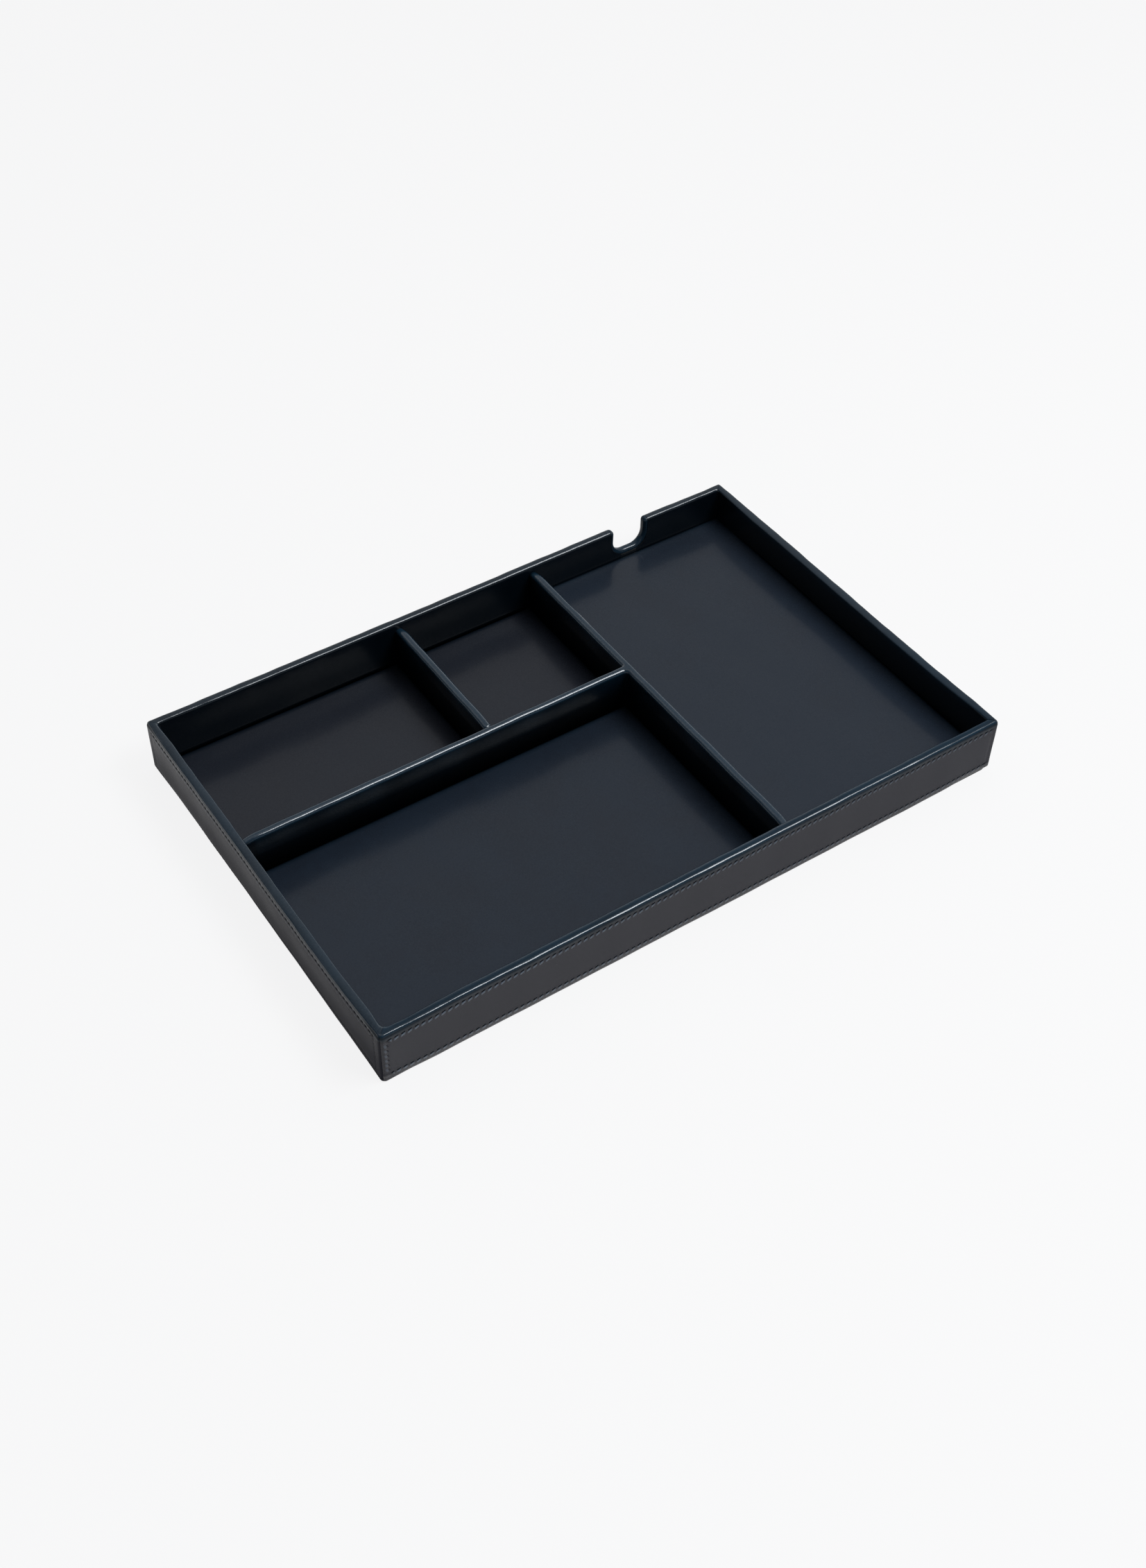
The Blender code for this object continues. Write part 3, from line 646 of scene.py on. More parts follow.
def round_corner(name, share, depth):
    """Places along a wall and depths behind its face, with the points near its ends on rounds."""
    half = WALLS[name]["half"]
    outer, inner = (by_corner(name, share, rounds) for rounds in (OUTER_ROUNDS, INNER_ROUNDS))
    radius = between(outer, WALL + inner, soft_step(depth, 0, WALL))
    reach = np.maximum(radius - depth, LEAST_REACH)
    to_end = (1 - np.abs(share)) * (half - depth)
    angle = np.clip(1 - to_end / reach, 0, 1) * math.pi / 4
    bent = to_end < reach
    straight = np.abs(share) * (half - depth)
    along = np.where(bent, half - radius + reach * np.sin(angle), straight)
    along = along - SEAM_GAP * np.clip(1 - to_end / (0.5 * MM), 0, 1)
    deep = np.where(bent, radius - reach * np.cos(angle), depth)
    return np.sign(share) * along, deep


def pulled_corner(x, y):
    """How far leather is pulled along X: out at the front right corner, in at the back right."""
    pull = PULL_OUT * step_mm(-y, 20, 95) - PULL_IN * step_mm(y, 50, 97)
    return pull * step_mm(x, 100, 148)


def to_tray(name, along, depth, height):
    """A place on a wall, turned into the tray's frame."""
    wall = WALLS[name]
    turn = math.pi / 2 * wall["turns"]
    across = depth - wall["away"]
    x = along * math.cos(turn) - across * math.sin(turn)
    y = along * math.sin(turn) + across * math.cos(turn)
    return np.stack([x + pulled_corner(x, y), y, height], axis=-1)


print("outer rounds", OUTER_ROUNDS, "inner rounds", INNER_ROUNDS)

# %% [markdown]
# ## The shape of a wall
#
# A covered wall is never quite straight. Its rim stands a little proud, its foot hangs, and its
# upper part bows. A lattice could bend the finished wall, but here each of these is one line that
# moves the section's points before they go round the corner, so the same lines move the stitches.

# %% Wall shape
UPPER_WALL = (15 * MM, 25 * MM)
STITCH_COLUMNS = 5


def settle(name, along, depth, height):
    """Lifts the rim, swells the inside, pushes the foot out and bows the upper part."""
    wall = WALLS[name]
    own = step_mm(wall["half"] - np.abs(along), 2, 30)
    lift = between(by_corner(name, along, CORNER_LIFTS), wall["lift"], own)
    swing = np.clip((along - wall["bow_middle"]) / wall["bow_reach"], -1, 1)
    bow = wall["bow"] * np.cos(swing * math.pi / 2) ** 2 * own
    outer_face = 1 - step_mm(depth, 1, 3)
    foot_out = wall["out"] * own * (1 - step_mm(height, 4, 22)) * outer_face
    upper = soft_step(height, *UPPER_WALL)
    depth = depth - bow * step_mm(height, 4, 20) - foot_out
    depth = depth + wall["swell"] * own * step_mm(depth, 1.5, 3.5) * upper
    return depth, height + lift * upper


def wall_columns(wall):
    """Shares from -1 to 1 along a wall: five columns for each stitch, and more at its ends."""
    near = np.array([0, 0.12, 0.28, 0.48, 0.72, 1.0, 1.35, 1.75, 2.2]) * MM
    inside = wall["half"] - near[-1]
    count = 2 * round(inside / wall["pitch"] * STITCH_COLUMNS)
    middle = np.linspace(-inside, inside, count + 1)[1:-1]
    return np.concatenate([near - wall["half"], middle, (wall["half"] - near)[::-1]]) / wall["half"]


def wall_surface(name, shares):
    """Depth and height of each point of a wall's leather, and the direction that is out there."""
    wall = WALLS[name]
    along = shares * wall["half"]
    to_end = wall["half"] - np.abs(along)
    own = step_mm(to_end, 2, 14)[None, :, None]
    droop = between(*wall["sag"], (shares + 1) / 2) * (0.94 + waver(along, (0.05, 83 * MM, 0.3)))
    corner_sag = by_corner(name, along, CORNER_SAGS)
    droop = between(corner_sag, droop, step_mm(to_end, 2, 30))
    rounds = wall["outer"], wall["inner"], wall["foot"]
    sections = np.stack([wall_section(*rounds, amount) for amount in droop], axis=1)
    corners = np.stack([wall_section(*CORNER_ROUNDS, amount) for amount in droop], axis=1)
    section = corners * (1 - own) + sections * own
    step = np.gradient(section, axis=0)
    step /= np.maximum(np.linalg.norm(step, axis=2, keepdims=True), 1e-9)
    return section[..., 0], section[..., 1], -step[..., 1], step[..., 0]


def stand_off(name, shares, depth, height, on_face):
    """How far the leather stands out from its section: stitch relief, rim waves, foot and seams."""
    along = shares[0] * WALLS[name]["half"]
    places = shares * WALLS[name]["half"]
    on_rim = soft_step(height, RIM - 3 * MM, RIM - 0.5 * MM)
    rim_wave = waver(places, (0.05, 38 * MM, 1.3), (0.035, 17 * MM, 0.2), (0.02, 9 * MM, 2.4)) * MM
    stand = relief(name, places, height) * on_face + rim_wave * on_rim
    hanging = step_mm(WALL_BOTTOM - height, -0.6, 0.6)
    stand = stand + 0.25 * MM * hanging * on_face
    to_end = WALLS[name]["half"] - np.abs(along)
    return stand - by_corner(name, along, SEAM_TUCKS) * np.exp(-to_end / (0.35 * MM))


for wall_name, wall in WALLS.items():
    print(wall_name, "columns", len(wall_columns(wall)))

# %% [markdown]
# ## Where a wall is blue, grey, polished, matt and shaded
#
# Rubbing polishes the rims. Light and shade are painted in as well: the rims are painted blue and
# lighter, the insides nearly black as painted shade, and the panels pressed and grey, partly as a
# painted reflection of the floor. Some places are made matt and darker as painted shade: in the
# stitch grooves, beside the front rim's highlight, and in gradients along the front and left walls
# and down the left wall. A painter would brush such values on by hand. Here they are worked out
# from depth, height and the way the surface faces, so they stay right when a size changes.

# %% Wall paint
# The least blue, painted where the leather is nearly black as painted shade.
LEAST_BLUE = 0.08
PRESSED_POLISH = 0.15
EDGE_POLISH = 0.45
INNER_POLISH = 0.45
BORDER_POLISH = 0.17
FLAT_POLISH = 0.42
CREST = (RIM - 1.2 * MM, RIM - 0.2 * MM)


def wall_paint(name, shares, depth, height, facing_up, on_face):
    """The painted values of each point of a wall; facing_up is the height part of the way out."""
    wall = WALLS[name]
    outside = step_mm(depth, 2.6, 1.2)
    border = soft_step(height, wall["top"] - 0.1 * MM, wall["top"] + 0.7 * MM) * outside
    crest = soft_step(height, *CREST)
    level = soft_step(np.abs(facing_up), 0.86, 0.99)
    upright = 1 - soft_step(np.abs(facing_up), 0.05, 0.45)
    fade = between(*wall["fade"], step_mm(depth, 1.2, 3.6))
    # How blue and light the rim is painted; across its width fade darkens the flat top as painted
    # shade.
    rim_blue = wall["tint"] * (1 - 0.5 * level * (1 - np.minimum(fade, 1)))
    # Below the rim the border keeps a little blue, and the rest the least: painted shade.
    blue = np.maximum((0.25 + 0.17 * upright) * border, LEAST_BLUE) * (1 - crest)
    blue = blue + crest * rim_blue
    panel = on_face * (1 - border) * (1 - crest)

    gloss = between(*wall["gloss"], soft_step(shares * wall["half"], *wall["gloss_turn"]))
    polish = crest * (1 - level + FLAT_POLISH * level * fade) * gloss
    polish = polish + BORDER_POLISH * border * upright * (1 - crest)
    below = step_mm(wall["bottom"] - height, 0.0, 0.8) * outside
    panel_base = PRESSED_POLISH + EDGE_POLISH * below
    polish = polish + panel_base * wall["press"] * on_face * (1 - border)
    polish = np.maximum(polish, INNER_POLISH * soft_step(depth, WALL - 0.3 * MM, WALL))

    # Matt and darker as painted shade: graded along and up the wall, more in the stitch grooves and
    # beside the rim's highlight.
    rise = step_mm(height, 8, 24)
    span = (shares + 1) / 2
    top_start, top_end, low_start, low_end = wall["dull"]
    dull = between(low_start, low_end, span) * (1 - rise) + between(top_start, top_end, span) * rise
    dull = dull * (1 - 0.35 * border) * outside * (1 - level) * (1 - crest)
    top_groove, low_groove = wall["groove"]
    shade = top_groove * groove(height - wall["top"], 0.5 * MM, 0.4 * MM)
    shade = shade + low_groove * groove(height - wall["bottom"], 1.2 * MM, 0.5 * MM)
    dull = dull + (1 - dull) * shade * on_face
    past_highlight = step_mm(depth, 1.3, 1.9)
    past_highlight = past_highlight * (1 - 0.6 * step_mm(depth, 2.2, 3.5))
    dull = np.maximum(dull, wall["rim_dull"] * past_highlight * crest)
    return dict(panel=panel, blue=blue, polish=polish, dull=dull)


def wall_leather(name):
    shares = wall_columns(WALLS[name])
    depth, height, out_depth, out_height = wall_surface(name, shares)
    shares = np.broadcast_to(shares, depth.shape)
    places = shares * WALLS[name]["half"]
    on_face = (1 - step_mm(depth, 0.3, 1.0)) * soft_step(out_depth, 0.2, -0.3)
    values = wall_paint(name, shares, depth, height, out_height, on_face)
    run, across, shows, lean = stitch_map(name, places, height)
    values.update(
        stitch_run=run, stitch_across=across, stitch_lean=lean, stitch_shows=shows * on_face)
    stand = stand_off(name, shares, depth, height, on_face)
    depth, height = settle(name, places, depth + stand * out_depth, height + stand * out_height)
    bent_along, depth = round_corner(name, shares, depth)
    points = to_tray(name, bent_along, depth, height)
    return shaped_grid(shares.shape[1] - 1, SECTION_ROWS, points, **values)


wall_skins = {}
for wall_name in WALLS:
    wall_skins[wall_name] = make_piece(
        wall_name + "_wall_skin", wall_leather(wall_name), leather,
        [wall_name + "_wall_leather"], LEATHER)

# %% [markdown]
# ## Finish of the sewing thread
#
# The thread is dark navy and twisted, with a dull sheen. Its twist could be modelled, but one
# stitch is under 2 mm long, so slanted bands in the colour and in a small bump say enough.


# %% Thread finish
def thread_finish():
    material, shader, values = new_finish("navy_thread", IOR=1.15)
    place = values.node("ShaderNodeTexCoord", output=3)
    diagonal = {"bands_direction": "DIAGONAL"}
    twist = place.texture("Wave", 1500, diagonal, Distortion=1.5, Detail=2)
    wear = place.texture("Noise", 900, Detail=2)
    tone = (twist * 0.7 + wear * 0.5).ramp(0.3, 0.9)
    values.feed(shader, {
        "Base Color": tone.blend(colour(0.0015, 0.0025, 0.0045), colour(0.006, 0.010, 0.016)),
        "Roughness": 0.55 + wear * 0.2,
        "Normal": values.bump(twist, 0.05 * MM, 0.6),
    })
    return material


thread = thread_finish()
print("thread nodes", len(thread.node_tree.nodes))

# %% [markdown]
# ## Stitches
#
# A lockstitch seam shows as short slanted dashes, each one a piece of thread that dips into a
# hole at both ends. There are hundreds of them, so each is only a stretched sphere of thirty
# faces, half sunk in its groove. A curve with an array could repeat them, but placing each one
# lets it follow the relief.

# %% Stitches
THREAD_SIZE = 0.34 * MM
THREAD_SINK = 0.09 * MM
HIDDEN_SINK = 0.16 * MM


def row_stitches(name):
    """Along, height and direction of every stitch on a wall."""
    wall = WALLS[name]
    slant = math.radians(wall["slant"])
    (level, first), (upright, lowest) = row_starts(name)
    reach = wall["half"] - wall["side"]
    places = []
    for height, gap_middle, gap_half in (
        (wall["top"], NOTCH_MIDDLE, TOP_ROW_GAP), (wall["bottom"], BEZEL_MIDDLE, BOTTOM_ROW_GAP)
    ):
        for along in first + np.arange(level + 1) * wall["pitch"]:
            if name != "back" or abs(-along - gap_middle) > gap_half:
                places.append((along, height, slant))
    for along in (-reach, reach):
        for height in lowest + np.arange(upright + 1) * wall["pitch"]:
            places.append((along, height, math.pi / 2 + slant))
    return places


def sewn_rows(name):
    wall = WALLS[name]
    rows = bmesh.new()
    places = row_stitches(name)
    turn = Matrix.Rotation(math.pi / 2 * wall["turns"], 4, "Z")
    lie_down = Matrix.Rotation(math.pi / 2, 4, "Y")
    size = Matrix.Diagonal((wall["dash"] / 2, THREAD_SIZE / 2, THREAD_SIZE / 2, 1))
    for along, height, direction in places:
        spot = np.array([along]), np.array([height])
        shows = stitch_map(name, *spot)[2]
        sink = THREAD_SINK + HIDDEN_SINK * (1 - shows) - relief(name, *spot)
        depth, raised = settle(name, spot[0], sink, spot[1])
        place = Matrix.Translation(to_tray(name, spot[0], depth, raised)[0])
        lean = Matrix.Rotation(-direction, 4, "Y")
        bmesh.ops.create_uvsphere(rows, u_segments=6, v_segments=5, radius=1,
                                  matrix=place @ turn @ lean @ size @ lie_down)
    print(name, "stitches", len(places))
    return rows


for wall_name in WALLS:
    make_piece(wall_name + "_wall_stitches", sewn_rows(wall_name), thread)

# %% [markdown]
# ## The notch in the back wall
#
# The back wall's skin is cut away in the shape of the notch, a little larger than the notch
# itself, and a strip of leather lines the cut. The grid could be bent round the notch, but that
# would stretch its stitches. So the cut is a boolean with a rounded block, done on the thick skin
# and then kept, so that nothing is left to work out later. A second block makes the seat of the
# power inlet.


# %% Cut the back wall
CUTTER_SEGMENTS = 8


def block(low, high):
    made = bmesh.new()
    bmesh.ops.create_cube(made, size=1)
    bmesh.ops.scale(made, vec=Vector(high) - Vector(low), verts=made.verts)
    bmesh.ops.translate(made, vec=(Vector(high) + Vector(low)) / 2, verts=made.verts)
    return made


def round_edges(shape, edges, radius, segments):
    bmesh.ops.bevel(shape, geom=edges, offset=radius, segments=segments, profile=0.5,
                    affect="EDGES", material=-1)


def rounded_cutter(low, high, radius):
    """A block whose edges along Y are rounded."""
    made = block(low, high)
    half = (high[1] - low[1]) / 2
    edges = [e for e in made.edges if abs(e.verts[0].co.y - e.verts[1].co.y) > half]
    round_edges(made, edges, radius, CUTTER_SEGMENTS)
    return to_object("cutter", made)


def keep_modifiers(piece):
    """Makes the result of a piece's modifiers its real mesh."""
    depsgraph = bpy.context.evaluated_depsgraph_get()
    mesh = bpy.data.meshes.new_from_object(piece.evaluated_get(depsgraph), depsgraph=depsgraph)
    piece.modifiers.clear()
    piece.data = mesh


LINING_EDGE = WALLS["back"]["outer"][0]
NOTCH_BOTTOM = notch_low.z + LEATHER
NOTCH_ROUND = 6.0 * MM
SEAT_MARGIN = 0.05 * MM
THROUGH = (HALF_WIDTH - WALL - MM, HALF_WIDTH + 2 * MM)
notch_cut = rounded_cutter(
    (NOTCH_MIDDLE - NOTCH_HALF - LINING_EDGE, THROUGH[0], NOTCH_BOTTOM - LINING_EDGE),
    (NOTCH_MIDDLE + NOTCH_HALF + LINING_EDGE, THROUGH[1], RIM + 20 * MM),
    NOTCH_ROUND + LINING_EDGE,
)
inlet_cut = rounded_cutter(
    (bezel_low.x - SEAT_MARGIN, THROUGH[0], bezel_low.z - SEAT_MARGIN),
    (bezel_high.x + SEAT_MARGIN, THROUGH[1], bezel_high.z + SEAT_MARGIN),
    (bezel_high.z - bezel_low.z) / 2,
)
back_skin = wall_skins["back"]
for cutter in (notch_cut, inlet_cut):
    cut = back_skin.modifiers.new("cut", "BOOLEAN")
    cut.operation = "DIFFERENCE"
    cut.solver = "MANIFOLD"
    cut.object = cutter
keep_modifiers(back_skin)
for cutter in (notch_cut, inlet_cut):
    bpy.data.objects.remove(cutter)
print("back wall skin", len(back_skin.data.polygons), "faces")

# %% [markdown]
# ## The strip that lines the notch
#
# The lining has the same rounded section as the back rim. It comes off the rim, bends down into
# the notch, runs round its two lower corners and climbs out again. It could be a curve with a
# profile, but its section has to match the rim's. A bent strip like this is what spin is for: the
# section is extruded along the straight parts and spun round a centre at each of the four bends.

# %% Notch lining
BEND = LINING_EDGE + 0.05 * MM
QUARTER_STEPS = 8
STRAIGHT_STEPS = 6


def bend(strip, ends, centre, quarter):
    """Spins the strip's open end round a centre, by a quarter turn either way."""
    spun = bmesh.ops.spin(strip, geom=ends, cent=centre, axis=(0, 1, 0), dvec=(0, 0, 0),
                          angle=quarter * math.pi / 2, steps=QUARTER_STEPS, use_merge=False)
    return spun["geom_last"]


def run_on(strip, ends, step):
    """Extrudes the strip's open end by a step, in equal pieces."""
    for _ in range(STRAIGHT_STEPS):
        edges = [part for part in ends if isinstance(part, bmesh.types.BMEdge)]
        ends = bmesh.ops.extrude_edge_only(strip, edges=edges)["geom"]
        moved = [part for part in ends if isinstance(part, bmesh.types.BMVert)]
        bmesh.ops.translate(strip, vec=Vector(step) / STRAIGHT_STEPS, verts=moved)
        ends = moved + [e for e in ends if isinstance(e, bmesh.types.BMEdge)
                        and e.verts[0] in moved and e.verts[1] in moved]
    return ends


def notch_strip():
    strip = bmesh.new()
    left, right = NOTCH_MIDDLE - NOTCH_HALF, NOTCH_MIDDLE + NOTCH_HALF
    low, high = NOTCH_BOTTOM + NOTCH_ROUND, RIM - BEND
    inner = WALLS["back"]["inner"]
    section = arc((LINING_EDGE, RIM - LINING_EDGE), (LINING_EDGE, LINING_EDGE), 0, QUARTER_STEPS)
    section += arc((WALL - inner[0], RIM - inner[1]), inner, 90, QUARTER_STEPS)
    start = left - BEND
    verts = [strip.verts.new((start, HALF_WIDTH - depth, height)) for depth, height in section]
    ends = verts + [strip.edges.new(pair) for pair in zip(verts, verts[1:])]
    ends = bend(strip, ends, (start, 0, high), 1)
    ends = run_on(strip, ends, (0, 0, low - high))
    ends = bend(strip, ends, (left + NOTCH_ROUND, 0, low), -1)
    ends = run_on(strip, ends, (right - left - 2 * NOTCH_ROUND, 0, 0))
    ends = bend(strip, ends, (right - NOTCH_ROUND, 0, low), -1)
    ends = run_on(strip, ends, (0, 0, high - low))
    bend(strip, ends, (right + BEND, 0, high), 1)
    bmesh.ops.remove_doubles(strip, verts=strip.verts, dist=0.005 * MM)
    bmesh.ops.recalc_face_normals(strip, faces=strip.faces)
    bottom = Vector((NOTCH_MIDDLE, HALF_WIDTH - WALL / 2, NOTCH_BOTTOM))
    lowest = min(strip.faces, key=lambda face: (face.calc_center_median() - bottom).length)
    if lowest.normal.z < 0:
        bmesh.ops.reverse_faces(strip, faces=strip.faces)

    def polish(vert):
        return PRESSED_POLISH + EDGE_POLISH * soft_step(abs(vert.normal.y), 0.2, 0.6)

    # The lining is painted bluer where it faces up, as painted light.
    paint(strip, blue=lambda vert: 0.5 + 0.3 * abs(vert.normal.z), polish=polish)
    for vert in strip.verts:
        depth, height = settle("back", -vert.co.x, HALF_WIDTH - vert.co.y, vert.co.z)
        vert.co.y, vert.co.z = HALF_WIDTH - depth, height
    return strip


make_piece("notch_strip", notch_strip(), leather, ["notch_lining"], LEATHER)

# %% [markdown]
# ## Tools for the dividers
#
# A divider is a thin board with leather folded over its top. Its skin could be bent from a grid
# like a wall's, but the dividers branch, so each starts as a block. The top edges are bevelled,
# except at the ends, which butt against a wall or another divider, and the block is sliced so that
# its top can dip towards those ends and waver a little, as a hand-covered board does.

# %% Divider tools
DIVIDER_EDGE = 1.8 * MM
EDGE_SEGMENTS = 9
DIP_LENGTH = 6 * MM
SLICE = 2.5 * MM
TOUCHING = 0.01 * MM
SIDE_POLISH = 0.2
# How matt and dark the divider sides are made, as painted shade.
SIDE_MATT_SHADE = 0.5
FLAT_LOSS = 0.64


def slice_block(made, axis, places):
    """Cuts the whole mesh by planes square to an axis."""
    normal = Vector((axis == 0, axis == 1, axis == 2))
    for place in places:
        everything = list(made.verts) + list(made.edges) + list(made.faces)
        bmesh.ops.bisect_plane(made, geom=everything, plane_co=normal * place, plane_no=normal)


def round_top(made, top, ends):
    """Rounds the long edges of the top, then takes away the bottom, which stands on the floor."""
    made.normal_update()
    inner = [e for e in made.edges if all(f.normal.z > 0.9 for f in e.link_faces)]
    bmesh.ops.dissolve_edges(made, edges=inner, use_verts=True)

    def at_end(edge):
        return any(all(abs(v.co[axis] - end) < TOUCHING for v in edge.verts)
                   for axis, end, _ in ends)

    rim = [e for e in made.edges
           if all(v.co.z > top - TOUCHING for v in e.verts) and not at_end(e)]
    round_edges(made, rim, DIVIDER_EDGE, EDGE_SEGMENTS)
    made.normal_update()
    under = [f for f in made.faces if f.normal.z < -0.9]
    bmesh.ops.delete(made, geom=under, context="FACES")


def settle_top(made, ends):
    """Dips the top near each end, given as an axis, a place and a depth, and lets it waver."""
    for vert in made.verts:
        place = vert.co.copy()
        upper = float(step_mm(place.z, 14, 24))
        dip = sum(deep * (1 - float(soft_step(abs(place[axis] - end), 0, DIP_LENGTH)))
                  for axis, end, deep in ends)
        along = place.x + place.y
        rise = upper * waver(along, (0.06, 41 * MM, 1.0), (0.04, 19 * MM, 0)) * MM
        vert.co.z -= upper * dip - rise
        side = waver(along, (0.05, 33 * MM, 2.0), (0.03, 14 * MM, 1.0)) * MM * upper
        vert.co.x += side
        vert.co.y += side


def paint_divider(made, top):
    """Blue and polished on the rounded edges, less so on the flat top; sides dark and matt: painted
    shade.
    """
    def blue(vert):
        return max(LEAST_BLUE, soft_step(vert.co.z, top - 2.2 * MM, top - 1.0 * MM))

    def polish(vert):
        upper = soft_step(vert.co.z, top - 2.2 * MM, top - 1.2 * MM)
        return max(SIDE_POLISH, upper) * (1 - FLAT_LOSS * soft_step(vert.normal.z, 0.93, 0.995))

    def dull(vert):
        return SIDE_MATT_SHADE * (1 - soft_step(vert.co.z, top - 3.5 * MM, top - 1.5 * MM))

    paint(made, blue=blue, polish=polish, dull=dull)


print("divider tools are ready")

# %% [markdown]
# ## Dividers
#
# The long divider and the cross divider are covered by one skin, because no seam shows where they
# meet, and the short one is separate. The branch is extruded from the long block's side. Its two
# inner corners are rounded, the front one more, because the leather bridges it there. A boolean
# could join two blocks too, but an extruded branch needs no repair before its edges are bevelled.

# %% Divider skins
WALL_LAP = 0.7 * MM
FILLETS = (1.5 * MM, 0.4 * MM)
FILLET_SEGMENTS = 5
DIP = 1.2 * MM
SHORT_DIP = 0.6 * MM
long_low, long_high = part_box("long_divider_leather")
cross_low, cross_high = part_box("cross_divider_leather")
short_low, short_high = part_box("short_divider_leather")
# How far, in mm, the leather of a side stands from its place in the CAD model.
for corner, axis, shift in (
    (long_low, "x", -0.45), (long_high, "x", -0.35),
    (short_low, "x", -0.2), (short_high, "x", -0.1), (cross_low, "y", 0.25),
):
    setattr(corner, axis, getattr(corner, axis) + shift * MM)
WALL_Y = INNER_Y + 0.5 * WALL_LAP
WALL_X = INNER_X + WALL_LAP


def grow_branch(made):
    """Extrudes the long block's side, between the cross divider's faces, to the left wall."""
    made.normal_update()
    root = [f for f in made.faces if f.normal.x < -0.9
            and cross_low.y < f.calc_center_median().y < cross_high.y]
    grown = bmesh.ops.extrude_face_region(made, geom=root)["geom"]
    bmesh.ops.delete(made, geom=root, context="FACES_ONLY")
    tip = [part for part in grown if isinstance(part, bmesh.types.BMVert)]
    bmesh.ops.translate(made, vec=(-WALL_X - long_low.x, 0, 0), verts=tip)


def junction_skin():
    made = block((long_low.x, -WALL_Y, LINING_BOTTOM), (long_high.x, WALL_Y, long_high.z))
    slice_block(made, 1, (cross_low.y, cross_high.y))
    grow_branch(made)
    for y, fillet in zip((cross_low.y, cross_high.y), FILLETS):
        upright = [e for e in made.edges if abs(e.verts[0].co.z - e.verts[1].co.z) > 10 * MM]
        place = Vector((long_low.x, y))
        corner = [e for e in upright if all((v.co.xy - place).length < TOUCHING for v in e.verts)]
        round_edges(made, corner, fillet, FILLET_SEGMENTS)
    ends = [(1, -WALL_Y, DIP), (1, WALL_Y, DIP), (0, -WALL_X, DIP)]
    round_top(made, long_high.z, ends)
    slice_block(made, 0, np.arange(-INNER_X + MM, long_low.x - 2 * MM, SLICE))
    slice_block(made, 1, np.arange(-WALL_Y + MM, cross_low.y - 2 * MM, SLICE))
    slice_block(made, 1, np.arange(cross_high.y + 2 * MM, WALL_Y, SLICE))
    settle_top(made, ends)
    return made


def short_skin():
    start = cross_high.y - 0.3 * MM
    made = block((short_low.x, start, LINING_BOTTOM), (short_high.x, WALL_Y, short_high.z))
    ends = [(1, start, SHORT_DIP), (1, WALL_Y, DIP)]
    round_top(made, short_high.z, ends)
    slice_block(made, 1, np.arange(cross_high.y + MM, INNER_Y, SLICE))
    settle_top(made, ends)
    return made


for skin_name, skin, cad_nodes in (
    ("joined_divider_skin", junction_skin(), ["long_divider_leather", "cross_divider_leather"]),
    ("short_divider_skin", short_skin(), ["short_divider_leather"]),
):
    paint_divider(skin, long_high.z)
    make_piece(skin_name, skin, leather, cad_nodes, LEATHER)

# %% [markdown]
# ## Floors and the charging deck
#
# Each bay has its own sheet of leather, glued down with its edges pushed against the walls. Seen
# closely the edge rolls down into a dark line, painted darker as shade too, and the sheet isn't
# perfectly flat. The rear sheets are painted darker all over, as shade. A plane would be enough
# from afar, but a grid with closer rows at its edges can roll and wave. The deck's sheet is the
# same, with edges that wrap down over the raised board.

# %% Floor sheets
EDGE_GAP = 0.01 * MM
EDGE_ROWS = np.array([0, 0.0, 0.12, 0.45, 1.2, 3.0]) * MM
EDGE_DROPS = (0.55 * MM, 0.2 * MM, 0.03 * MM, 0.0)
FLOOR_STEP = 2.4 * MM
FLOOR_PRESS = 0.6
FLOOR_POLISH = 0.14


def spaced(low, high):
    """Places from low to high, a step apart, with extra ones near both ends."""
    start, end = low + EDGE_ROWS, high - EDGE_ROWS
    count = max(2, round((high - low - 2 * EDGE_ROWS[-1]) / FLOOR_STEP))
    return np.concatenate([start, np.linspace(start[-1], end[-1], count + 1)[1:-1], end[::-1]])


def floor_sheet(low, high, top, skirt, tint):
    """A leather sheet in a bay, with its edges rolled down by the height of the skirt."""
    x, y = spaced(low[0], high[0]), spaced(low[1], high[1])
    drop = np.array([skirt, *EDGE_DROPS])
    from_end = [np.minimum(np.arange(len(p)), np.arange(len(p))[::-1]) for p in (y, x)]
    rows_in = np.minimum(*np.ix_(*from_end))
    edge = drop[np.minimum(rows_in, len(drop) - 1)]
    across, along = np.meshgrid(x, y)
    inside = np.minimum(np.minimum(across - low[0], high[0] - across),
                        np.minimum(along - low[1], high[1] - along))
    wave = waver(across + 0.3 * along, (0.05, 61 * MM, 0.5), (0.03, 27 * MM, 1.0))
    wave = wave + waver(along - 0.4 * across, (0.05, 53 * MM, 2.5), (0.03, 23 * MM, 0.2))
    height = top - edge + (wave - 0.1) * step_mm(inside, 0, 12) * MM
    points = np.stack([across, along, height], axis=-1)
    # Near its edges the sheet is painted less blue and less grey, as shade in the joint.
    shown = step_mm(inside, 0.2, 2.5)
    return shaped_grid(len(x) - 1, len(y) - 1, points, blue=between(LEAST_BLUE, tint, shown),
                       panel=FLOOR_PRESS * shown, polish=FLOOR_POLISH * shown)


